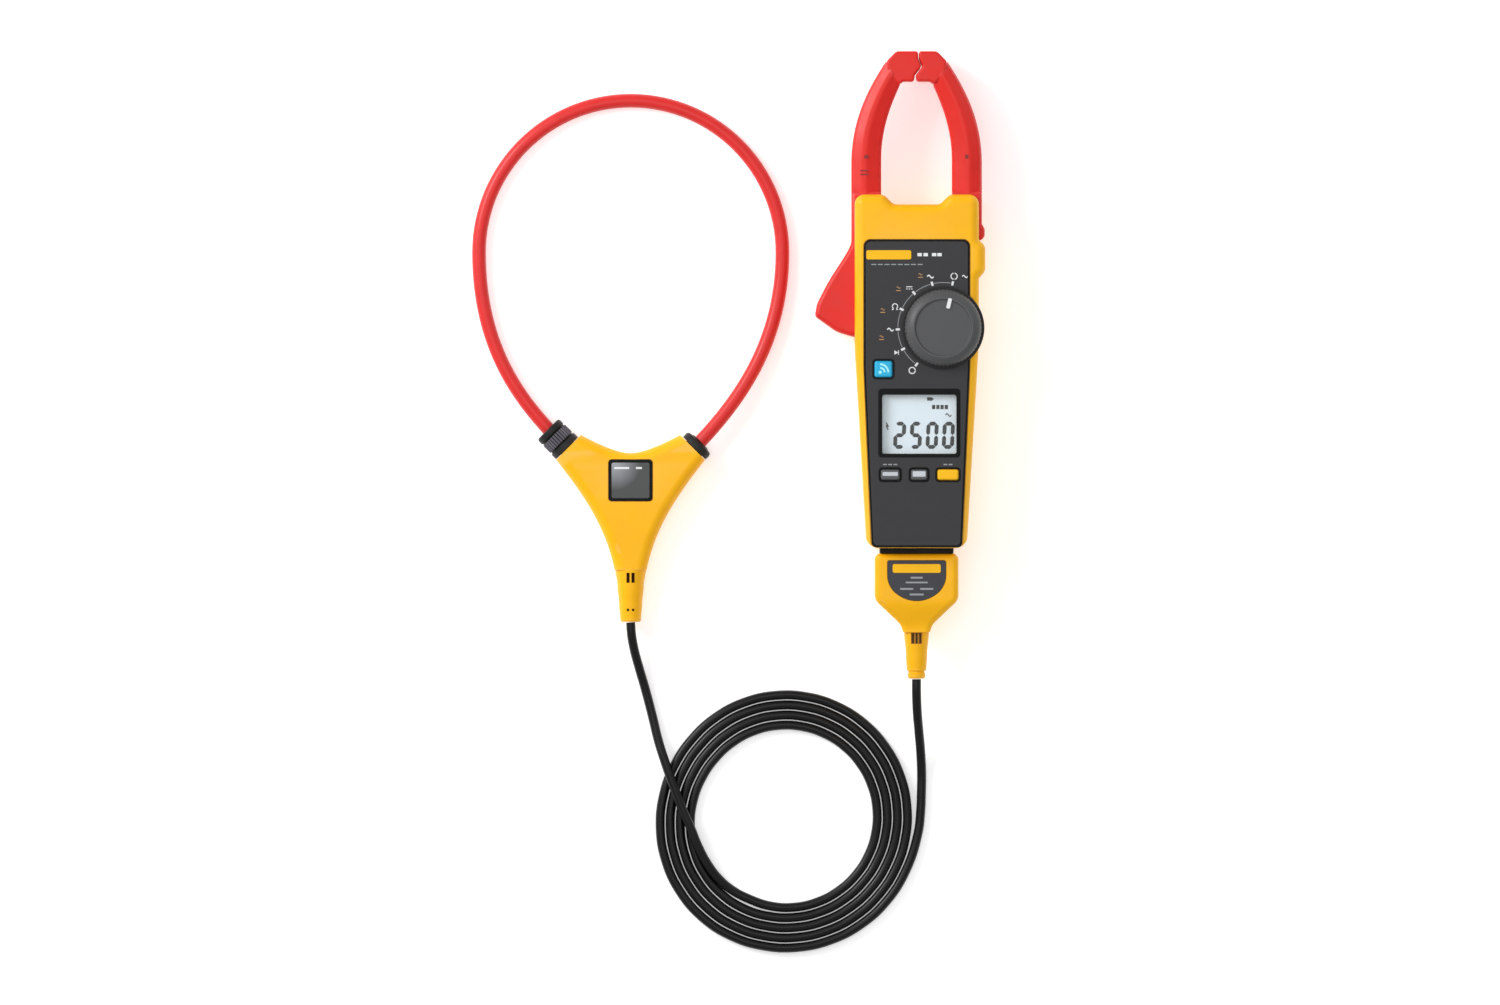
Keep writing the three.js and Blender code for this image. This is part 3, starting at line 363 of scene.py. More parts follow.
def rounded(corners, step_deg=7.5):
    """A closed outline of (x, y, radius) corners: each becomes an arc, or a point if it has no radius."""
    outline = []
    for i, corner in enumerate(corners):
        at = Vector(corner[:2])
        radius = corner[2] if len(corner) > 2 else 0
        if not radius:
            outline.append(at)
            continue
        back = (Vector(corners[i - 1][:2]) - at).normalized()
        ahead = (Vector(corners[(i + 1) % len(corners)][:2]) - at).normalized()
        half = back.angle(ahead) / 2
        centre = at + (back + ahead).normalized() * radius / math.sin(half)
        start = at + back * radius / math.tan(half) - centre
        end = at + ahead * radius / math.tan(half) - centre
        turn = math.atan2(start.cross(end), start.dot(end))
        steps = max(1, round(abs(math.degrees(turn)) / step_deg))
        outline += [centre + Matrix.Rotation(turn * k / steps, 2) @ start for k in range(steps + 1)]
    return outline


def rectangle(x, y, width, height, radius=0.0):
    w, h = width / 2, height / 2
    return rounded(
        [(x - w, y - h, radius), (x + w, y - h, radius), (x + w, y + h, radius), (x - w, y + h, radius)]
    )


def circle(x, y, radius, sides=64):
    turn = math.tau / sides
    return [Vector((x + radius * math.cos(k * turn), y + radius * math.sin(k * turn))) for k in range(sides)]


def slab_mesh(outlines, low, high, edge=0.0, steps=4):
    """Outlines, the outermost first, filled and raised from low to high, with edges rounded by `edge`."""
    curve = bpy.data.curves.new("slab", "CURVE")
    curve.dimensions = "2D"
    curve.fill_mode = "BOTH"
    curve.extrude = ((high - low) / 2 - edge) * MM
    curve.bevel_depth = edge * MM
    curve.bevel_resolution = steps
    curve.offset = -edge * MM
    for outline in outlines:
        spline = curve.splines.new("POLY")
        spline.points.add(len(outline) - 1)
        for point, (x, y) in zip(spline.points, outline):
            point.co = (x * MM, y * MM, 0, 1)
        spline.use_cyclic_u = True
    holder = linked("slab", curve)
    evaluated = holder.evaluated_get(bpy.context.evaluated_depsgraph_get())
    mesh = bpy.data.meshes.new_from_object(evaluated)
    bpy.data.objects.remove(holder)
    bpy.data.curves.remove(curve)
    mesh.transform(Matrix.Translation((0, 0, (low + high) / 2 * MM)))
    bm = opened(mesh)
    bmesh.ops.remove_doubles(bm, verts=bm.verts, dist=2e-6)
    bmesh.ops.recalc_face_normals(bm, faces=bm.faces)
    return stored(bm, mesh)


def slab(name, outlines, low, high, edge, material):
    return finish_mesh(name, slab_mesh(outlines, low, high, edge), material)


def bridge(bm, loops):
    """Joins closed loops of vertices, each to the next, with a band of faces."""
    count = len(loops[0])
    for lower, upper in zip(loops, loops[1:]):
        for k in range(count):
            n = (k + 1) % count
            bm.faces.new((lower[k], lower[n], upper[n], upper[k]))


def lathe(name, profile, at, material, axis=(0, 0, 1), sides=96, ribs=None):
    """A profile of (radius, height) turned about an axis through `at`. ribs(angle, height) adds to it."""
    bm = bmesh.new()
    frame_at = Vector(axis).to_track_quat("Z", "Y").to_matrix().to_4x4()
    rings = []
    for radius, height in profile:
        ring = []
        for k in range(sides):
            angle = math.tau * k / sides
            r = radius + (ribs(angle, height) if ribs and radius > 0.01 else 0)
            point = frame_at @ Vector((r * math.cos(angle), r * math.sin(angle), height))
            ring.append(bm.verts.new((point + Vector(at)) * MM))
        rings.append(ring)
    bridge(bm, rings)
    bmesh.ops.remove_doubles(bm, verts=bm.verts, dist=1e-7)
    return from_bmesh(name, bm, material)


def skin(bm, rings):
    """Rings of points, each a closed loop, skinned into one closed surface."""
    loops = [[bm.verts.new(Vector(p) * MM) for p in ring] for ring in rings]
    bridge(bm, loops)
    bm.faces.new(loops[0])
    bm.faces.new(loops[-1])


def box_mesh(low, high):
    bm = bmesh.new()
    bmesh.ops.create_cube(bm, size=1)
    low, high = Vector(low) * MM, Vector(high) * MM
    for vert in bm.verts:
        vert.co = Vector((low[i] + (vert.co[i] + 0.5) * (high[i] - low[i]) for i in range(3)))
    return stored(bm, bpy.data.meshes.new("box"))


def drum_mesh(x, y, radius, low, high, sides=32):
    return slab_mesh([circle(x, y, radius, sides)], low, high)


def shaped(name, base, material, cut=(), add=(), smooth_deg=32):
    """A mesh with others joined to it and then others cut from it."""
    made = linked(name, base)
    for operation, meshes in (("UNION", add), ("DIFFERENCE", cut)):
        for mesh in meshes:
            tool = linked("tool", mesh)
            modifier = made.modifiers.new("shape", "BOOLEAN")
            modifier.operation = operation
            modifier.solver = "EXACT"
            modifier.object = tool
            evaluated = made.evaluated_get(bpy.context.evaluated_depsgraph_get())
            result = bpy.data.meshes.new_from_object(evaluated)
            made.modifiers.remove(modifier)
            made.data = result
            bpy.data.objects.remove(tool)
    result = made.data
    bpy.data.objects.remove(made)
    return finish_mesh(name, result, material, smooth_deg)


def ribbon(points, width):
    """The outline of a stroke of that width along a line of points, as a list of one polygon."""
    points = [Vector(p) for p in points]
    steps = [(b - a).normalized() for a, b in zip(points, points[1:])]
    left, right = [], []
    for p, before, after in zip(points, steps[:1] + steps, steps + steps[-1:]):
        along = (before + after).normalized()
        side = Vector((-along.y, along.x)) * width / 2 / max(0.5, along.dot(after))
        left.append(p + side)
        right.append(p - side)
    return [right + left[::-1]]


def arc(x, y, radius, start_deg, end_deg, steps=16):
    angles = [math.radians(start_deg + (end_deg - start_deg) * k / steps) for k in range(steps + 1)]
    return [(x + radius * math.cos(a), y + radius * math.sin(a)) for a in angles]


def ink(name, polygons, low, high, material):
    """Thin raised polygons: printed or moulded marks, and painted shade in slots and recesses."""
    bm = bmesh.new()
    for polygon in polygons:
        bottom = [bm.verts.new((p[0] * MM, p[1] * MM, low * MM)) for p in polygon]
        top = [bm.verts.new((p[0] * MM, p[1] * MM, high * MM)) for p in polygon]
        bm.faces.new(bottom[::-1])
        bm.faces.new(top)
        bridge(bm, [bottom, top])
    bmesh.ops.recalc_face_normals(bm, faces=bm.faces)
    return finish_mesh(name, stored(bm, bpy.data.meshes.new(name)), material)


def give(piece, body, slot=None, *nodes):
    """Says what a piece rides on and the CAD nodes it stands for. Its slot argument is not used."""
    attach(piece, body)
    if nodes:
        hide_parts(*nodes)


# ---------------------------------------------------------------- the cable and the hoop


def smooth(t):
    t = min(1, max(0, t))
    return t * t * (3 - 2 * t)


# Where it isn't coiled, the cable's route is a list of points, the same ones as its CAD solids follow.
FROM_PLUG = [
    (0, -189.6, 18),
    (0, -196, 17.9),
    (0.4, -206, 15.6),
    (1.3, -216, 10.6),
    (2.2, -226, 5.6),
    (2.7, -236, 2.9),
    (2.6, -247, 2.4),
    (2.3, -255, 2.4),
    (0.9, -267, 2.4),
]
TO_HANDLE = [
    (-92.1, -295.5, 2.7),
    (-98.8, -289.8, 4.1),
    (-104.6, -282.1, 5.5),
    (-109.1, -273.6, 6.7),
    (-112.8, -264.5, 7.4),
    (-117.2, -254.5, 7.4),
    (-121.8, -242.5, 7.4),
    (-126, -230.5, 6.6),
    (-129, -221, 4.7),
    (-132.2, -208, 2.9),
    (-135.6, -195, 2.9),
    (-138.8, -184, 4.5),
    (-141.2, -175, 6.6),
    (-142.6, -167, 8.3),
    (-143, -161.3, 8.5),
]
COIL_INNER = 45.7
COIL_PITCH = 5.05
COIL_START = 245  # degrees, where the innermost turn begins
COIL_END = 1775
STEP_FROM = 130  # each turn moves out by one pitch between these two bearings
STEP_TO = 245


def coil_points():
    points = []
    degrees = COIL_END
    while degrees >= COIL_START:
        turns = math.floor((degrees - STEP_FROM) / 360)
        into = (degrees - STEP_FROM - 360 * turns) / (STEP_TO - STEP_FROM)
        radius = COIL_INNER + COIL_PITCH * (turns - 1 + smooth(into))
        angle = math.radians(degrees)
        if degrees < COIL_START + 25:
            radius -= 0.4 * smooth((COIL_START + 25 - degrees) / 25)
        points.append(
            (COIL_AT.x + radius * math.cos(angle), COIL_AT.y + radius * math.sin(angle), CORD_R + 0.15)
        )
        degrees -= 15
    return points


def cord_curve(name, points, radius, material):
    curve = bpy.data.curves.new(name, "CURVE")
    curve.dimensions = "3D"
    curve.bevel_depth = radius * MM
    curve.bevel_resolution = 6
    curve.use_fill_caps = True
    curve.resolution_u = 6
    spline = curve.splines.new("BEZIER")
    spline.bezier_points.add(len(points) - 1)
    for point, at in zip(spline.bezier_points, points):
        point.co = Vector(at) * MM
        point.handle_left_type = point.handle_right_type = "AUTO"
    curve.materials.append(material)
    return linked(name, curve)


def make_cable():
    points = FROM_PLUG + coil_points() + TO_HANDLE
    cable = cord_curve("cable", points, CORD_R, CORD)
    give(cable, "probe", "cord_black", "cord_from_plug", "cord_coil", "cord_to_handle")


def arm_point(side, along, z=HANDLE_MID):
    """A point on an arm's axis, `along` beyond its end face. side is -1 for the left arm."""
    reach = along * math.sqrt(0.5)
    return HOOP_AT + Vector((side * (ARM.x + reach), ARM.y + reach, z))


HOOP_FROM = 4.3
HOOP_TO = -5.7


def make_hoop():
    quarter = 0.5523 * HOOP_R
    r, rest = HOOP_R, HOOP_REST

    def at(x, y, z=rest):
        return HOOP_AT + Vector((x, y, z))

    knots = [
        (arm_point(-1, HOOP_FROM), None, arm_point(-1, HOOP_FROM + 28, 8)),
        (at(-r, -1), at(-r, -50), at(-r, -1 + quarter)),
        (at(0, 75), at(-quarter, 75), at(quarter, 75)),
        (at(r, -1), at(r, -1 + quarter), at(r, -50)),
        (arm_point(1, HOOP_TO), arm_point(1, HOOP_TO + 32, 8), None),
    ]
    hoop = cord_curve("flexible_hoop", [knot[0] for knot in knots], HOOP_TUBE, HOOP_RED)
    hoop.data.resolution_u = 32
    hoop.data.bevel_resolution = 8
    for point, (co, left, right) in zip(hoop.data.splines[0].bezier_points, knots):
        point.handle_left_type = point.handle_right_type = "FREE"
        point.handle_left = (left or co) * MM
        point.handle_right = (right or co) * MM
    give(hoop, "probe", "hoop_red", "sensor_hoop")


# ---------------------------------------------------------------- the meter's case

WALL = 2.2
CASE_HIGH = 36
CASE_EDGE = 4.5
SLOT_LOW, SLOT_HIGH = 7.2, 28.8  # the levels between which the jaws pass through the case
SEAM = 0.15  # half the gap between two shells


def case_outline():
    side = [(-24.6, CASE_LOW - 6), (24.6, CASE_LOW - 6), (CASE_HALF, WAIST, 120)]
    bulge = [(CASE_HALF, 10.6, 2), (34.2, 14.2, 4.7), (34.2, 27, 4.7), (CASE_HALF, 29.8, 2)]
    ear = [(CASE_HALF, CASE_TOP, 4.8), (16.4, CASE_TOP, 4.7), (11.6, 47.6, 4)]
    far_ear = [(-x, y, radius) for x, y, radius in reversed(ear)]
    return rounded(side + bulge + ear + far_ear + [(-CASE_HALF, WAIST, 120)])


def case_cavity():
    half = CASE_HALF - WALL
    low = CASE_LOW_HALF - WALL
    top = CASE_TOP - WALL
    right = [(low, CASE_LOW + WALL), (half, WAIST), (half, top), (19.2, top), (13.4, 45.4)]
    left = [(-x, y) for x, y in reversed(right)]
    return slab_mesh([left[-1:] + right + left[:-1]], WALL, CASE_HIGH - WALL)


def case_end():
    """All that lies beyond the case's lower end, whose corners are round in plan."""
    corners = [(CASE_LOW_HALF, CASE_LOW, 6.5), (-CASE_LOW_HALF, CASE_LOW, 6.5)]
    outline = [(-40, -140), (40, -140), (40, -112), (25.8, -112), *corners, (-25.8, -112), (-40, -112)]
    return slab_mesh([rounded(outline)], -5, 45)


def case_ways_out():
    """The trigger's side slot, the two jaws' ways out, and the socket block's opening."""
    return [
        box_mesh((-40, -20, SLOT_LOW), (-22, 60, SLOT_HIGH)),
        box_mesh((-21.9, 40, SLOT_LOW), (-17.7, 60, SLOT_HIGH)),
        box_mesh((17.7, 40, SLOT_LOW), (40, 60, SLOT_HIGH)),
        box_mesh((27, 29.5, SLOT_LOW), (40, 39.9, SLOT_HIGH)),
        box_mesh((-17.6, -130, 8.4), (17.6, -120, 27.6)),
    ]


PANEL_HALF = 26.5
PANEL_LOW_HALF = 22.6
PANEL_WAIST = -34
PANEL_LOW, PANEL_HIGH = -123.7, 30


def panel_outline(inset, extra_low=0.0):
    half, half_low = PANEL_HALF - inset, PANEL_LOW_HALF - inset
    low, high = PANEL_LOW - extra_low + inset, PANEL_HIGH - inset
    corner = 3.4 - inset * 0.6
    lower = [(-half_low, low, 2.2), (half_low, low, 2.2), (half, PANEL_WAIST, 90)]
    return rounded(lower + [(half, high, corner), (-half, high, corner), (-half, PANEL_WAIST, 90)])


KEYS = ["record_key", "hold_key", "zero_key", "radio_key"]
KEY_SIZE = {"record_key": (9.4, 5.2), "hold_key": (8.2, 5.2), "zero_key": (10.4, 5.2), "radio_key": (8.8, 8)}
DIAL = Vector(JOINTS["dial_turn"]["pos_m"]) / MM
DIAL_R = 20.6
POINTER_BEARING = 76.5


def key_outline(name, grow=0.0, radius=1.2):
    width, height = KEY_SIZE[name]
    at = middle(name)
    return rectangle(at.x, at.y, width + 2 * grow, height + 2 * grow, radius)


def case_shell_mesh(cuts):
    """The case's hollow shell, less the cuts."""
    base = slab_mesh([case_outline()], 0, CASE_HIGH, CASE_EDGE, 6)
    shell = shaped("case_shell", base, YELLOW, [case_end(), case_cavity(), *case_ways_out(), *cuts])
    mesh = shell.data
    bpy.data.objects.remove(shell)
    return mesh


def make_front_case():
    screen = middle("display_window")
    cuts = [slab_mesh([panel_outline(-0.25, 4)], 34.9, 40)]
    cuts.append(slab_mesh([rectangle(screen.x, screen.y, 40, 32, 1)], 30, 36))
    cuts.append(drum_mesh(DIAL.x, DIAL.y, 7, 30, 36))
    cuts += [slab_mesh([key_outline(key, 0.4)], 30, 36) for key in KEYS]
    cuts.append(box_mesh((-50, -140, -5), (50, 70, SPLIT + SEAM)))
    shell = finish_mesh("case_front_shell", case_shell_mesh(cuts), YELLOW)
    give(shell, "meter", "case_yellow", "front_case")


def make_back_case():
    low, high = place("battery_door")
    at = middle("battery_door")
    half = case_shell_mesh([box_mesh((-50, -140, SPLIT - SEAM), (50, 70, 45))])
    ledge = box_mesh((-17.4, -122, 1), (17.4, -44.4, 3.6))
    walls = [box_mesh((-17, y, 1.5), (17, y + 1.8, 17)) for y in (-112.4, -55.9)]
    recess = rectangle(at.x, at.y, high.x - low.x + 0.6, high.y - low.y + 0.6, 3)
    cuts = [slab_mesh([recess], -1, 2.3), box_mesh((-14.7, -110.6, -2), (14.7, -55.8, 5))]
    for k in (1, 2, 3, 4):
        screw = middle(f"case_screw_{k}")
        cuts.append(drum_mesh(screw.x, screw.y, 2.9, -1, 3))
    cuts += [drum_mesh(0, middle(f"door_screw_{k}").y, 1.6, -1, 7) for k in (1, 2)]
    shell = shaped("case_back_shell", half, YELLOW, cuts, [ledge, *walls])
    give(shell, "meter", "case_yellow", "back_case")


# ---------------------------------------------------------------- front panel, screen, keys and dial

PANEL_TOP = 36.35
MARK_TOP = PANEL_TOP + 0.05


def make_panel():
    screen = middle("display_window")
    glass = rectangle(screen.x, screen.y, 37, 29.4, 1)
    stem = circle(DIAL.x, DIAL.y, 7.4)
    wells = [key_outline(key, 0.4) for key in KEYS]
    # The black base shows as a thin rim round the charcoal face: painted shade for the dark gap between panel
    # and case.
    border = slab("panel_border_painted_gap_shade", [panel_outline(0.1), glass, stem, *wells], 35.2, 35.95, 0.15, BLACK)
    give(border, "meter", "panel_charcoal", "front_panel")
    face = slab(
        "panel_face",
        [panel_outline(1.0), rectangle(screen.x, screen.y, 40, 32.6, 1.6), stem, *wells],
        35.7,
        PANEL_TOP,
        0.3,
        CHARCOAL,
    )
    give(face, "meter", "panel_charcoal")
    frame_ring = rectangle(screen.x, screen.y + 0.6, 41, 34.4, 1.8)
    ring = slab("screen_frame", [frame_ring, glass], 35.8, PANEL_TOP + 0.2, 0.25, BLACK)
    give(ring, "meter", "black_plastic")
    # A black ring round each key is painted shade, for the dark recess the key sits in.
    for key in KEYS:
        well = slab(
            f"{key}_painted_recess_shade",
            [key_outline(key, 1.15, 1.9), key_outline(key, 0.35)],
            35.8,
            PANEL_TOP + 0.12,
            0.15,
            BLACK,
        )
        give(well, "meter", "black_plastic")


def make_keys():
    paint = {"record_key": KEY_GREY, "hold_key": KEY_GREY, "zero_key": KEY_YELLOW, "radio_key": KEY_BLUE}
    for key in KEYS:
        low, high = place(key)
        size = KEY_SIZE[key]
        cap = slab_mesh([key_outline(key)], low.z, high.z + 0.35, 1.0, 5)
        flange = slab_mesh([key_outline(key, 1.2)], low.z, low.z + 1.3, 0.2, 2)
        bm = opened(cap)
        bm.from_mesh(flange)
        slot = {"zero_key": "key_yellow", "radio_key": "key_blue"}.get(key, "key_grey")
        give(from_bmesh(f"{key}_cap", bm, paint[key]), key, slot, key)
        at = middle(key)
        top = high.z + 0.35
        if key == "radio_key":
            x, y = at.x - 1.6, at.y - 1.6
            marks = [q for radius in (2.2, 4) for q in ribbon(arc(x, y, radius, 0, 90), 0.9)]
            marks.append(circle(x, y, 0.8, 16))
            give(ink("radio_key_waves", marks, top - 0.1, top + 0.05, SKY), key, "key_blue")
        elif key != "zero_key":
            tall = 1.9 if key == "record_key" else 2.7
            bars = [rectangle(at.x, at.y + 0.4, size[0] - 1.8, tall, 0.4)]
            give(ink(f"{key}_bar", bars, top - 0.1, top + 0.05, KEY_PALE), key, "key_grey")


SEGMENTS = {"0": "abcdef", "2": "abged", "5": "afgcd"}


def digit(x, y, width, height, lit):
    """The lit segments of a seven-segment digit whose lower left corner is x, y."""
    t = 1.95  # stroke
    lean = 0.05
    mid = height / 2
    strokes = {
        "a": ((0, height), (width, height)),
        "b": ((width, height), (width, mid)),
        "c": ((width, mid), (width, 0)),
        "d": ((0, 0), (width, 0)),
        "e": ((0, 0), (0, mid)),
        "f": ((0, mid), (0, height)),
        "g": ((0, mid), (width, mid)),
    }
    polygons = []
    for name in lit:
        a, b = (Vector(p) for p in strokes[name])
        along = (b - a).normalized()
        side = Vector((-along.y, along.x)) * t / 2
        a, b = a + along * 0.08, b - along * 0.08
        tip = along * t / 2
        hexagon = [a, a + tip - side, b - tip - side, b, b - tip + side, a + tip + side]
        polygons.append([(x + p.x + lean * p.y, y + p.y) for p in hexagon])
    return polygons


def make_reading():
    at = middle("display_window")
    face = place("lcd_module")[1].z
    marks = []
    for k, figure in enumerate("2500"):
        marks += digit(at.x - 12.1 + 8.1 * k, at.y - 11.3, 4.1, 11.6, SEGMENTS[figure])
    battery = [rectangle(at.x + 5.2, at.y + 12.6, 2.6, 1.7), rectangle(at.x + 6.8, at.y + 12.6, 0.6, 0.8)]
    bars = [rectangle(at.x + 7.2 + 2.1 * k, at.y + 8.6, 1.6, 2.1) for k in range(4)]
    wave = [(at.x + 13.2 + 0.35 * k, at.y + 4.6 + 0.7 * math.sin(k * 0.78)) for k in range(9)]
    flash = [(at.x - x, at.y + y) for x, y in ((16.6, 0.9), (15.4, -1), (16.4, -0.8), (15.5, -2.8))]
    marks += battery + bars + ribbon(wave, 0.5) + ribbon(flash, 0.6)
    give(ink("screen_segments", marks, face, face + 0.06, INK_DARK), "meter", "black_plastic")


def polar(radius, bearing):
    angle = math.radians(bearing)
    return DIAL.x + radius * math.cos(angle), DIAL.y + radius * math.sin(angle)


BEARINGS = [78 + 26 * k for k in range(7)]  # of the dial's stops, from the one that it points at


def mains_mark(x, y, s):
    wave = [(x + s * (k / 8 - 0.5) * 2, y + s * 0.45 * math.sin(k * math.tau / 8)) for k in range(9)]
    return ribbon(wave, 0.38 * s)


def battery_mark(x, y, s):
    marks = ribbon([(x - s, y + 0.2 * s), (x + s, y + 0.2 * s)], 0.4)
    for k in range(3):
        start = x - s + 0.8 * s * k
        marks += ribbon([(start, y - 0.5 * s), (start + 0.45 * s, y - 0.5 * s)], 0.4)
    return marks


def ohm_mark(x, y, s):
    feet = [(x - s, y - s), (x - 0.45 * s, y - s)]
    return (
        ribbon(arc(x, y, s * 0.85, -60, 240, 14), 0.45)
        + ribbon(feet, 0.45)
        + ribbon([(2 * x - a, b) for a, b in feet], 0.45)
    )


def diode_mark(x, y, s):
    return [
        [(x - 0.7 * s, y - 0.7 * s), (x + 0.5 * s, y), (x - 0.7 * s, y + 0.7 * s)],
        *ribbon([(x + 0.6 * s, y - 0.7 * s), (x + 0.6 * s, y + 0.7 * s)], 0.4),
    ]


def ring_mark(x, y, s):
    return ribbon(arc(x, y, s, 2, 358, 24), 0.5)


def clamp_mark(x, y, s):
    return ribbon(arc(x, y, s, 100, 260, 10), 0.5) + ribbon(arc(x, y, s, -80, 80, 10), 0.5)


def make_dial_legend():
    ticks = [ribbon([polar(21.6, b), polar(23.7, b)], 1.1) for b in BEARINGS]
    signs = [clamp_mark, mains_mark, battery_mark, ohm_mark, mains_mark, diode_mark, ring_mark]
    white = [polygon for group in ticks for polygon in group]
    for bearing, sign in zip(BEARINGS, signs):
        x, y = polar(26.3, bearing)
        white += sign(x, y, 1.55)
    white += mains_mark(*polar(27.8, 67), 1.3)
    white += [rectangle(1.4 + 3 * k, 22.4, 2.2, 1.6) for k in (0, 1, 2.4, 3.3)]
    give(ink("dial_legend", white, PANEL_TOP - 0.1, MARK_TOP, INK), "meter", "white_mark")
    orange = []
    for bearing, radius in ((113, 29), (138, 30), (163, 31.5), (188, 31)):
        orange += mains_mark(*polar(radius, bearing), 0.9)
        orange += [rectangle(*(Vector(polar(radius, bearing)) - Vector((0, 1.5))), 2.4, 0.45)]
    give(ink("dial_second_legend", orange, PANEL_TOP - 0.1, MARK_TOP, INK_ORANGE), "meter", "white_mark")
    dashes = []
    for key, count in (("record_key", 3), ("zero_key", 2)):
        at = middle(key)
        dashes += [rectangle(at.x + 2.6 * (k - (count - 1) / 2), at.y + 5.1, 1.9, 0.6) for k in range(count)]
    dashes += [rectangle(-21.5 + 3.3 * k, 17.5, 2.5, 0.5) for k in range(8)]
    for a, b in zip(BEARINGS, BEARINGS[1:]):
        dashes += ribbon(arc(DIAL.x, DIAL.y, 22.6, a + 2.5, b - 2.5, 12), 0.35)
    give(ink("panel_dashes", dashes, PANEL_TOP - 0.1, MARK_TOP, INK_DIM), "meter", "white_mark")


def make_badge(name, x, y, width, height, level, body):
    """A blank badge where the maker's own would be."""
    piece = slab(name, [rectangle(x, y, width, height, 0.9)], level - 0.1, level + 0.25, 0.12, KEY_YELLOW)
    give(piece, body, "case_yellow")


def make_dial():
    top = place("dial_knob")[1].z
    skirt_low = 36.75
    skirt = [
        (0, skirt_low + 0.4),
        (DIAL_R - 2.5, skirt_low + 0.4),
        (DIAL_R - 2.4, skirt_low),
        (DIAL_R - 0.4, skirt_low),
        (DIAL_R, skirt_low + 0.4),
        (DIAL_R, skirt_low + 1.1),
        (DIAL_R - 0.5, skirt_low + 1.6),
        (0, skirt_low + 1.6),
    ]
    give(lathe("dial_skirt", skirt, (DIAL.x, DIAL.y, 0), BLACK), "dial", "black_plastic")
    rim = DIAL_R - 1.5
    inner = 14.6
    cap = [
        (0, skirt_low + 1.4),
        (rim - 0.3, skirt_low + 1.4),
        (rim, skirt_low + 2.0),
        (rim, top - 4.6),
        (rim - 0.35, top - 3.2),
        (rim - 1.2, top - 1.9),
        (rim - 2.6, top - 0.7),
        (inner + 0.5, top - 0.1),
        (inner + 0.1, top),
        (inner - 0.35, top - 0.1),
        (inner - 0.8, top - 0.75),
        (inner - 1.2, top - 0.85),
    ]
    cap += [(inner - 1.1, top - 0.86), (5, top - 0.8), (0, top - 0.8)]

    def grip(angle, height):
        return 0.12 * math.cos(60 * angle) if skirt_low + 1.9 < height < top - 2.5 else 0

    knob = lathe("dial_cap", cap, (DIAL.x, DIAL.y, 0), KNOB_GREY, sides=240, ribs=grip)
    give(knob, "dial", "knob_grey", "dial_knob")
    stem = drum_mesh(DIAL.x, DIAL.y, 6, 29.2, skirt_low + 0.6)
    give(finish_mesh("dial_stem", stem, BLACK), "dial", "black_plastic")
    bearing = math.radians(POINTER_BEARING)
    across = Vector((math.cos(bearing), math.sin(bearing)))
    line = [DIAL.xy + across * 9.8, DIAL.xy + across * 15]
    pointer = rounded([(*p, 0.5) for p in ribbon(line, 1.9)[0]])
    piece = slab("dial_pointer_bar", [pointer], top - 1.4, top + 0.08, 0.15, INK)
    give(piece, "dial", "white_mark", "dial_pointer")


# ---------------------------------------------------------------- jaws

JAW_HALF = 10.5


def bezier(*points, steps=24):
    curve = []
    for k in range(steps + 1):
        t = k / steps
        u = 1 - t
        weights = (u**3, 3 * t * u * u, 3 * t * t * u, t**3)
        curve.append(sum((Vector(p) * w for p, w in zip(points, weights)), Vector((0, 0))))
    return curve


def jaw_edges():
    """The left arm's outer and inner edge in plan, from inside the case up to the start of its tip."""
    hidden = 0.4
    outer = [Vector((-JAW_OUT + hidden, 50)), Vector((-JAW_OUT + hidden, 53.8)), Vector((-JAW_OUT, 54.2))]
    outer.append(Vector((-JAW_OUT, 57)))
    outer += bezier((-JAW_OUT, 68), (-JAW_OUT, 89), (-25, 104.5), (-15.4, 119))
    inner = [Vector((-JAW_IN - hidden, 50)), Vector((-JAW_IN - hidden, 53.8)), Vector((-JAW_IN, 54.2))]
    inner.append(Vector((-JAW_IN, 57)))
    inner += bezier((-JAW_IN, 70), (-JAW_IN, 86), (-12.5, 98), (-8.3, 107.4))
    return outer, inner


def jaw_section():
    """The front half of an arm's section: (distance from the outer edge, height above the middle)."""
    return rounded(
        [
            (0.25, SEAM),
            (14.15, SEAM),
            (14.4, SEAM + 0.4),
            (14.4, 6.2, 1.1),
            (13.2, 8.1, 1.1),
            (6.3, JAW_HALF, 5),
            (1.1, 8.1, 1.1),
            (0, 6.2, 1.1),
            (0, SEAM + 0.4),
        ],
        12,
    )


def jaw_arm(bm, face, side):
    """face is 1 for the front shell and -1 for the back one. side is -1 for the left jaw."""
    rings = []
    for outer, inner in zip(*jaw_edges()):
        ring = []
        for s, z in jaw_section():
            p = outer.lerp(inner, s / 14.4)
            ring.append((-side * p.x, p.y, SPLIT + face * z))
        rings.append(ring)
    skin(bm, rings)


def half_of(mesh, face):
    """The part of a closed mesh in front of the joint (face 1) or behind it (face -1), closed again."""
    bm = opened(mesh)
    geometry = bm.verts[:] + bm.edges[:] + bm.faces[:]
    height = (SPLIT + face * SEAM) * MM
    cut = bmesh.ops.bisect_plane(
        bm, geom=geometry, plane_co=(0, 0, height), plane_no=(0, 0, -face), clear_outer=True
    )["geom_cut"]
    edges = [e for e in cut if isinstance(e, bmesh.types.BMEdge)]
    bmesh.ops.triangle_fill(bm, use_beauty=True, use_dissolve=True, edges=edges)
    return bm


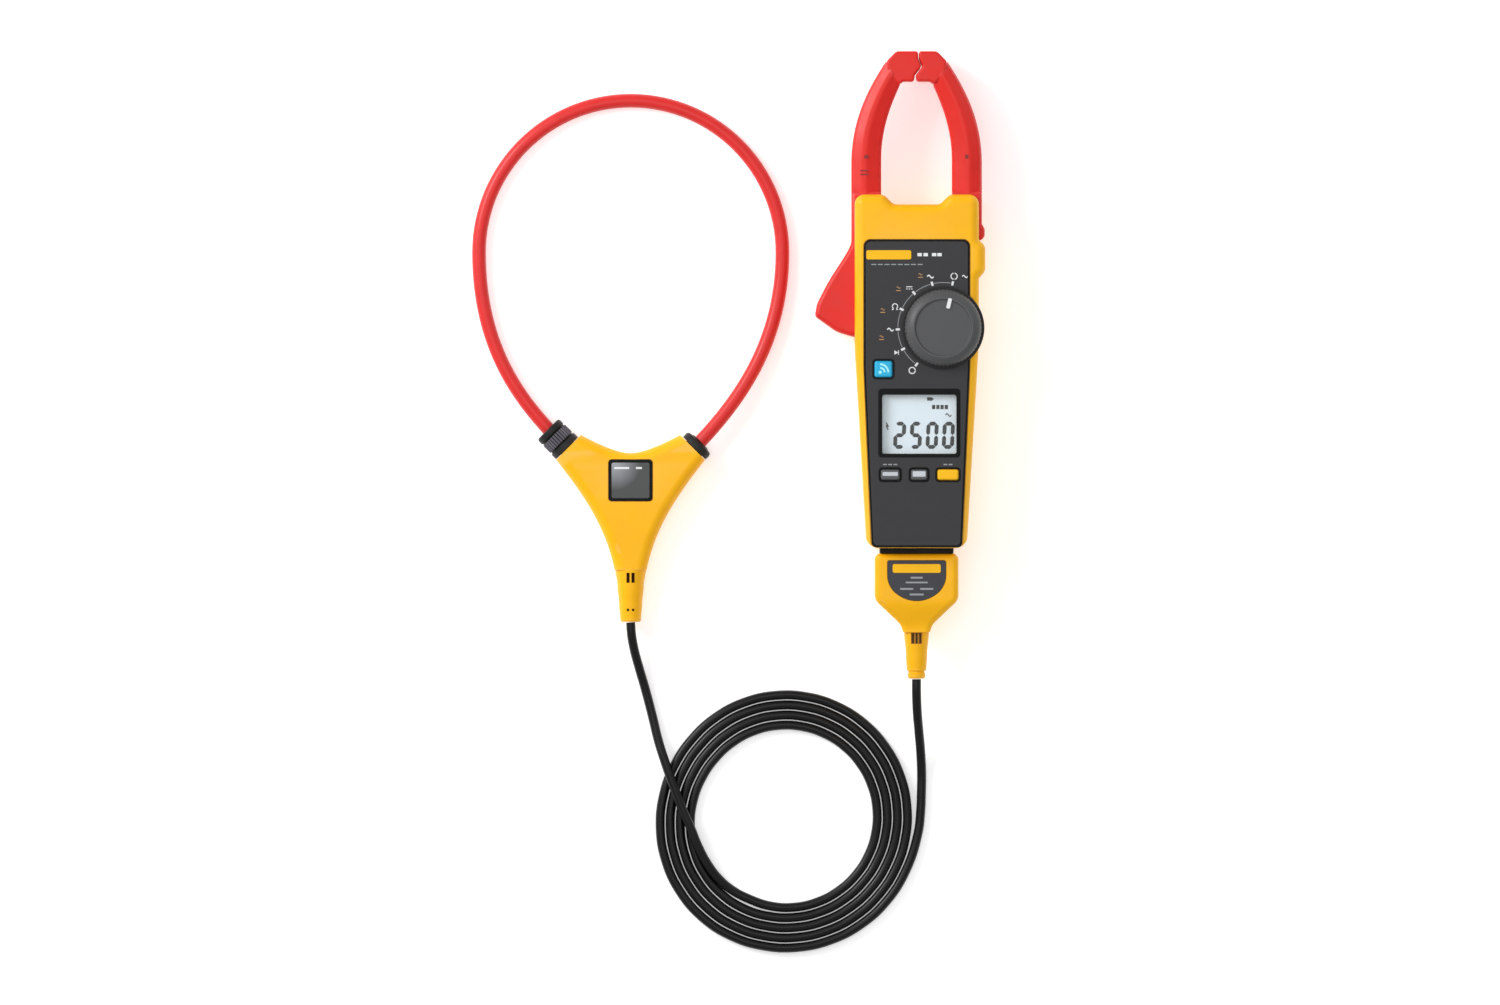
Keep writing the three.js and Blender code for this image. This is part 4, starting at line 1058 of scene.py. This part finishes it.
MOVING_TIP = [
    (-14.6, 113.4, 1.3),
    (-8.9, 107.6, 1.3),
    (-6.6, 109.1, 1.5),
    (-1.4, 109.1, 1.3),
    (-0.9, 112.4, 1.5),
    (2.5, 116.6, 2),
    (0.75, 120.6, 1.5),
    (0.75, 124.2, 1.3),
    (-10.2, 124.2, 3.6),
    (-15, 119.2, 2),
]
FIXED_TIP = [
    (14.6, 113.4, 1.3),
    (15, 119.2, 2),
    (10.2, 124.2, 3.6),
    (1.15, 124.2, 1.3),
    (1.15, 120.7, 1.5),
    (2.95, 116.6, 2),
    (-0.4, 112.2, 1.5),
    (0.2, 109.1, 1.3),
    (6.6, 109.1, 1.5),
    (8.9, 107.6, 1.3),
]
LEVER = [
    (-JAW_IN, 54),
    (-JAW_IN, 48, 6),
    (-12.4, 38, 8),
    (-13.2, 22, 10),
    (-22, 4, 40),
    (-25.2, -17.8, 2.6),
    (-31.5, -18.6, 8),
    (-40, -16, 14),
    (-50.9, -8.2, 2.8),
    (-49.8, -2, 8),
    (-44, 9.4, 60),
    (-35.8, 22, 30),
    (-JAW_OUT, 28, 8),
    (-JAW_OUT, 54),
]
HEEL = [
    (JAW_OUT, 54),
    (JAW_IN, 54),
    (JAW_IN, 48, 6),
    (13.4, 38, 4),
    (13.4, 20, 2.6),
    (28.2, 20, 2.6),
    (28.2, 29.9, 0.5),
    (34, 29.9, 2.6),
    (34, 35.4, 2.6),
    (JAW_OUT, 38),
]


def jaw_marks(side):
    """Small raised marks: a tick across the ridge, and a pair of bars near the case."""
    x = side * 26.2
    if side > 0:
        return [rectangle(x - 1.2, 71.5, 1.5, 1.9)]
    marks = [rectangle(x, y, 4, 0.6) for y in (62.6, 64.5)]
    return marks + [rectangle(x + 1, 71.4, 2, 1.6)]


def make_jaws():
    pivot = Vector(JOINTS["jaw_hinge"]["pos_m"]) / MM
    dowel = middle("jaw_dowel")
    jaws = {
        "moving": (-1, "moving_jaw", LEVER, MOVING_TIP, circle(pivot.x, pivot.y, 3.1, 32)),
        "fixed": (1, "meter", HEEL, FIXED_TIP, circle(dowel.x, dowel.y, 2.4, 32)),
    }
    for name, (side, body, root, tip, hole) in jaws.items():
        for face, end in ((1, "front"), (-1, "back")):
            low, high = SPLIT - JAW_HALF, SPLIT + JAW_HALF
            bm = half_of(slab_mesh([rounded(root), hole], low, high, 2.4, 5), face)
            cap = half_of(slab_mesh([rounded(tip)], low + 0.8, high - 0.8, 1.25, 5), face)
            bm.from_mesh(stored(cap, bpy.data.meshes.new("tip")))
            jaw_arm(bm, face, side)
            shell = from_bmesh(f"{name}_jaw_{end}_shell", bm, RED, 38)
            give(shell, body, "jaw_red", f"{name}_jaw_{end}")
        level = SPLIT + 9
        give(ink(f"{name}_jaw_marks", jaw_marks(side), level, level + 1.3, RED_DARK), body, "jaw_red")


# ---------------------------------------------------------------- the probe's plug

PLUG_MID = 18
PLUG_HALF = 10
PLUG_TOP = -126.6
PLUG_NECK = -166
PLUG_END = -189.3
PLUG_WIDE = 20.9  # half its width
PLUG_SHOULDER = -150
PLUG_THIN = -165  # where it has thinned to the neck's height


def tapered(mesh, mid, start, end, share):
    """Thins a mesh about the height mid, from full at y = start to `share` of it at y = end."""
    bm = opened(mesh)
    steps = 12
    for k in range(steps + 1):
        everything = bm.verts[:] + bm.edges[:] + bm.faces[:]
        level = (start + (end - start) * k / steps) * MM
        bmesh.ops.bisect_plane(bm, geom=everything, plane_co=(0, level, 0), plane_no=(0, 1, 0))
    for vert in bm.verts:
        keep = 1 - (1 - share) * smooth((start - vert.co.y / MM) / (start - end))
        vert.co.z = (mid + (vert.co.z / MM - mid) * keep) * MM
    return stored(bm, mesh)


def plug_outline(inset=0.0):
    wide, shoulder, top = PLUG_WIDE - inset, PLUG_SHOULDER + inset * 0.4, PLUG_TOP - inset
    lower = [(6.1 - inset, PLUG_NECK - 6), (7.2 - inset, -162.9, 9), (wide, shoulder, 6), (wide, top, 3.4)]
    return rounded([(-lower[0][0], lower[0][1])] + lower + [(-x, y, r) for x, y, r in lower[:0:-1]], 6)


def label_outline(grow=0.0):
    half, top = 14.6 + grow, -130.2 + grow
    lower = [(-half, -144, 12), (0, -153.4 - grow, 16), (half, -144, 12)]
    return rounded(lower + [(half, top, 1.2), (-half, top, 1.2)])


def make_plug():
    low, high = PLUG_MID - PLUG_HALF, PLUG_MID + PLUG_HALF
    for face, end in ((1, "front"), (-1, "back")):
        base = slab_mesh([plug_outline()], low, high, 3.2, 6)
        far = box_mesh((-30, -200, -10), (30, PLUG_NECK, 50))
        split = PLUG_MID + SEAM
        other = box_mesh((-30, -200, split if face < 0 else -10), (30, -100, 50 if face < 0 else split))
        inside = slab_mesh([plug_outline(2)], low + 2.2, high - 2.2)
        cuts = [tapered(inside, PLUG_MID, PLUG_SHOULDER, PLUG_THIN, 0.6), far, other]
        cuts.append(box_mesh((-9, -129, PLUG_MID - 5), (9, -126, PLUG_MID + 5)))
        cuts.append(slab_mesh([label_outline(0.25)], high - 0.9, high + 2))
        base = tapered(base, PLUG_MID, PLUG_SHOULDER, PLUG_THIN, 0.64)
        shell = shaped(f"plug_{end}_half", base, YELLOW, cuts)
        give(shell, "probe", "case_yellow", f"plug_{end}_shell")
    plate = slab_mesh([rectangle(0, 0, 37, 18.8, 2)], 0, 3, 0.5)
    upright = Matrix.Rotation(math.radians(-90), 4, "X")
    plate.transform(Matrix.Translation((0, -126.7 * MM, PLUG_MID * MM)) @ upright)
    tongue = box_mesh((-7, -125, PLUG_MID - 3.6), (7, -116.4, PLUG_MID + 3.6))
    stem = box_mesh((-8.5, -131, PLUG_MID - 4.5), (8.5, -125, PLUG_MID + 4.5))
    give(shaped("plug_nose_face", plate, BLACK, (), [tongue, stem]), "probe", "black_plastic", "plug_nose")
    label = slab("plug_label_face", [label_outline()], high - 0.8, high - 0.15, 0.2, INSET)
    give(label, "probe", "panel_charcoal", "plug_label")
    make_badge("plug_badge", 0, -134.2, 24, 4.4, high - 0.15, "probe")
    lines = [rectangle(0, -138.8, 6, 0.9), rectangle(0, -141.2, 11, 0.8), rectangle(-5, -144.4, 6.5, 0.9)]
    lines += [rectangle(5, -144.4, 6.5, 0.9), rectangle(0, -147.2, 7, 0.9)]
    give(ink("plug_label_dashes", lines, high - 0.2, high - 0.1, INK_DIM), "probe", "white_mark")


def boot_mesh(stations, at, sides=48):
    """Rings of (y, radius) round a line along Y through `at`."""
    bm = bmesh.new()
    turns = [math.tau / sides * k for k in range(sides)]
    rings = []
    for y, radius in stations:
        rings.append([(at.x + radius * math.cos(a), at.y + y, at.z + radius * math.sin(a)) for a in turns])
    skin(bm, rings)
    bmesh.ops.recalc_face_normals(bm, faces=bm.faces)
    return stored(bm, bpy.data.meshes.new("boot"))


def tube_profile(knots, step=0.8):
    """(y, radius) knots joined by smooth steps."""
    stations = []
    for (ya, ra), (yb, rb) in zip(knots, knots[1:]):
        count = max(1, round(abs(yb - ya) / step))
        stations += [(ya + (yb - ya) * k / count, ra + (rb - ra) * smooth(k / count)) for k in range(count)]
    return stations + [knots[-1]]


def make_boots():
    at = Vector((0, 0, PLUG_MID))
    knots = [(PLUG_NECK + 0.6, 6.25), (-178, 5.3), (-185.2, 4.9), (-185.5, 4.1), (-186.6, 4.1), (-186.9, 4.5)]
    knots += [(-188.7, 4.3), (PLUG_END, 3.7)]
    recess = box_mesh((-2.9, -172, PLUG_MID + 4.7), (2.9, -166.2, PLUG_MID + 8))
    boot = shaped("plug_boot_sleeve", boot_mesh(tube_profile(knots), at), YELLOW, [recess])
    give(boot, "probe", "case_yellow", "plug_boot")
    # Painted shade: the recess floor in darker yellow, and three dark brown stripes over it in place of
    # slots.
    floor = [rectangle(0, -169.1, 5.6, 5.6, 0.3)]
    give(ink("plug_boot_recess", floor, PLUG_MID + 4.6, PLUG_MID + 4.8, PAINTED_RECESS_SHADE), "probe", "case_yellow")
    dark = [rectangle(x, -169.1, 0.9, 5) for x in (-1.8, 0, 1.8)]
    give(ink("plug_boot_slots", dark, PLUG_MID + 4.7, PLUG_MID + 4.9, PAINTED_SLOT_SHADE), "probe", "black_plastic")
    at = HOOP_AT + Vector((0, 0, HANDLE_MID))
    knots = [(-159.4, 7.75), (-168, 6.6), (-177, 5.8), (-185.2, 5.2), (-186, 4.6)]
    slots = [(x - 0.8, -166.4, x + 0.8, -161.4) for x in (-1.25, 1.25)]
    slots += [(x - 0.6, -180.6, x + 0.6, -179.4) for x in (-1.3, 1.3)]
    x, y, z = at
    cuts = [box_mesh((x + a, y + b, z + 4.1), (x + c, y + d, z + 12)) for a, b, c, d in slots]
    boot = shaped("handle_boot_sleeve", boot_mesh(tube_profile(knots), at), YELLOW, cuts)
    give(boot, "probe", "case_yellow", "handle_boot")
    # Painted shade: dark brown laid at the bottom of the cut slots and dots.
    dark = [rectangle(x + aside, y - 163.9, 1.5, 4.9) for aside in (-1.25, 1.25)]
    dark += [rectangle(x + aside, y - 180, 1.2, 1.2) for aside in (-1.3, 1.3)]
    give(ink("handle_boot_slots", dark, z + 4, z + 4.3, PAINTED_SLOT_SHADE), "probe", "black_plastic")


# ---------------------------------------------------------------- the probe's handle and collars

HANDLE_HALF = 8.4
ARM_HALF = 8
BOOT_AT = -160


def handle_outline(inset=0.0, reach=6.0):
    d = inset * math.sqrt(0.5)
    a = ARM_HALF * math.sqrt(0.5)
    on = reach * math.sqrt(0.5)
    corner = (ARM.x + a - 2 * d, ARM.y - a)
    flank = bezier((5.2 - inset, -186), (6.3 - inset, -150), (15.6 - inset, -132.5), corner, steps=36)
    brow_start = Vector((ARM.x - a - d + on, ARM.y + a - inset * 0.7 + on))
    brow_end = Vector((0, -101.5 - inset))
    knee = Vector((13.4 - on, -101.5 - inset))
    steps = [k / 16 for k in range(17)]
    brow = [brow_start * (1 - t) ** 2 + knee * 2 * t * (1 - t) + brow_end * t * t for t in steps]
    right = flank + [Vector(corner) + Vector((on, on))] + brow[:-1]
    right = [p for p in right if p.y > BOOT_AT - 6]
    left = [Vector((-p.x, p.y)) for p in reversed(right)]
    return [p + HOOP_AT.xy for p in right + [brow_end] + left]


def past_arm(side):
    """All that lies beyond an arm's end face."""
    mesh = box_mesh((-16, 0, -20), (16, 40, 45))
    turn = Matrix.Rotation(math.radians(-side * 45), 4, "Z")
    move = Matrix.Translation((HOOP_AT + Vector((side * ARM.x, ARM.y, 0))) * MM)
    mesh.transform(move @ turn)
    return mesh


def make_handle():
    low, high = HANDLE_MID - HANDLE_HALF, HANDLE_MID + HANDLE_HALF
    at = HOOP_AT.xy + Vector((0, -115.2))
    for face, end in ((1, "front"), (-1, "back")):
        base = slab_mesh([handle_outline()], low, high, 5.6, 8)
        base = tapered(base, HANDLE_MID, HOOP_AT.y - 128, HOOP_AT.y + BOOT_AT, 0.88)
        split = HANDLE_MID + face * SEAM
        far = (HOOP_AT.x - 80, HOOP_AT.y - 250)
        near = (HOOP_AT.x + 80, HOOP_AT.y)
        cuts = [
            past_arm(-1),
            past_arm(1),
            box_mesh((*far, -30), (near[0], HOOP_AT.y + BOOT_AT, 50)),
            slab_mesh([handle_outline(2.4, 2)], low + 2.4, high - 2.4),
            box_mesh((*far, -30), (*near, split)) if face > 0 else box_mesh((*far, split), (*near, 50)),
        ]
        if face > 0:
            cuts.append(slab_mesh([rectangle(at.x, at.y, 22.6, 21.4, 2)], high - 1, high + 3))
        shell = shaped(f"handle_{end}_half", base, YELLOW, cuts)
        give(shell, "probe", "case_yellow", f"handle_{end}_shell")
    plate = [rectangle(at.x, at.y, 22, 20.8, 1.7)]
    label = slab("handle_label_face", plate, high - 1.1, high - 0.45, 0.25, BLACK)
    give(label, "probe", "panel_charcoal", "handle_label")
    # The label's inner face carries a painted sheen, paler towards its upper left corner.
    corner = at + Vector((-8, 8))
    sheen = painted_sheen_face("handle_label_painted_sheen", linear(54, 56, 56), linear(150, 152, 160), corner, 13)
    face = [rectangle(at.x, at.y, 19, 17.8, 1)]
    inner = slab("handle_label_inner", face, high - 0.6, high - 0.4, 0.08, sheen)
    give(inner, "probe", "panel_charcoal")
    lines = [rectangle(at.x - 4.4, at.y + 6.2, 7.4, 1), rectangle(at.x + 4.2, at.y + 6.2, 3, 1)]
    give(ink("handle_label_dashes", lines, high - 0.5, high - 0.38, INK), "probe", "white_mark")


def arm_axis(side):
    return Vector((side * math.sqrt(0.5), math.sqrt(0.5), 0))


def make_collars():
    def knurl(angle, along):
        return 0.3 * math.cos(30 * angle) if 4.4 < along < 9.6 else 0

    lock = [(5.6, 0.3), (7.6, 0.3), (7.85, 0.6), (7.85, 3.1), (7.6, 3.5), (7, 3.8), (7, 4.3), (7.15, 4.7)]
    lock += [(7.15, 9.3), (7, 9.7), (7, 10.1), (7.3, 10.4), (7.55, 10.8), (7.55, 12.7), (7.2, 13.5)]
    lock += [(6.5, 13.8), (4.4, 13.8), (4.4, 11.4), (5.6, 11.4), (5.6, 0.3)]
    piece = lathe("locking_collar", lock, arm_point(-1, 0), BLACK, arm_axis(-1))
    give(piece, "lock_collar", "black_plastic", "lock_collar")
    # The ribbed band is paler grey than the collar: a painted highlight on its ribs.
    band = [(6.9, 4.3), (7.2, 4.5), (7.35, 5), (7.35, 9), (7.2, 9.5), (6.9, 9.7), (6.9, 4.3)]
    piece = lathe("collar_grip_band", band, arm_point(-1, 0), GRIP_PAINTED_HIGHLIGHT, arm_axis(-1), 180, knurl)
    give(piece, "lock_collar", "black_plastic")
    fixed = [(3.9, -8), (5.4, -8), (5.4, 0.3), (7.8, 0.3), (8.05, 0.6), (8.05, 3), (7.6, 3.8), (6.9, 4.2)]
    fixed += [(5.2, 4.5), (4.8, 4.9), (3.9, 4.9), (3.9, -8)]
    piece = lathe("hoop_fixed_collar", fixed, arm_point(1, 0), BLACK, arm_axis(1))
    give(piece, "probe", "black_plastic", "fixed_collar")


# ---------------------------------------------------------------- finishes on the CAD pieces that stay

NODE_FINISH = [
    (WINDOW, "display_window"),
    (SCREEN, "lcd_module"),
    (BLACK, "lcd_holder socket_block hoop_ferrule"),
    (SILICONE, "zebra_strip keypad_mat radio_key_dome"),
    (BOARD, "main_board plug_board handle_board"),
    (CORE, "fixed_core moving_core"),
    (STEEL, "jaw_dowel pivot_pin jaw_spring cell_link cell_contact_1 cell_contact_2"),
    (STEEL, "case_screw_1 case_screw_2 case_screw_3 case_screw_4 door_screw_1 door_screw_2"),
    (BRASS, "dial_rotor common_jack volt_jack"),
    (CELL, "cell_1 cell_2"),
    (YELLOW, "battery_door"),
]


def finish_nodes():
    for material, names in NODE_FINISH:
        for name in names.split():
            for slot in frame["nodes"][name].material_slots:
                slot.material = material


make_camera()
make_studio()
make_floor()
make_cable()
make_hoop()
make_front_case()
make_back_case()
make_panel()
make_keys()
make_reading()
make_dial_legend()
make_badge("panel_badge", -14, 22.3, 22.4, 4.6, PANEL_TOP, "meter")
make_dial()
make_jaws()
make_plug()
make_boots()
make_handle()
make_collars()
finish_nodes()
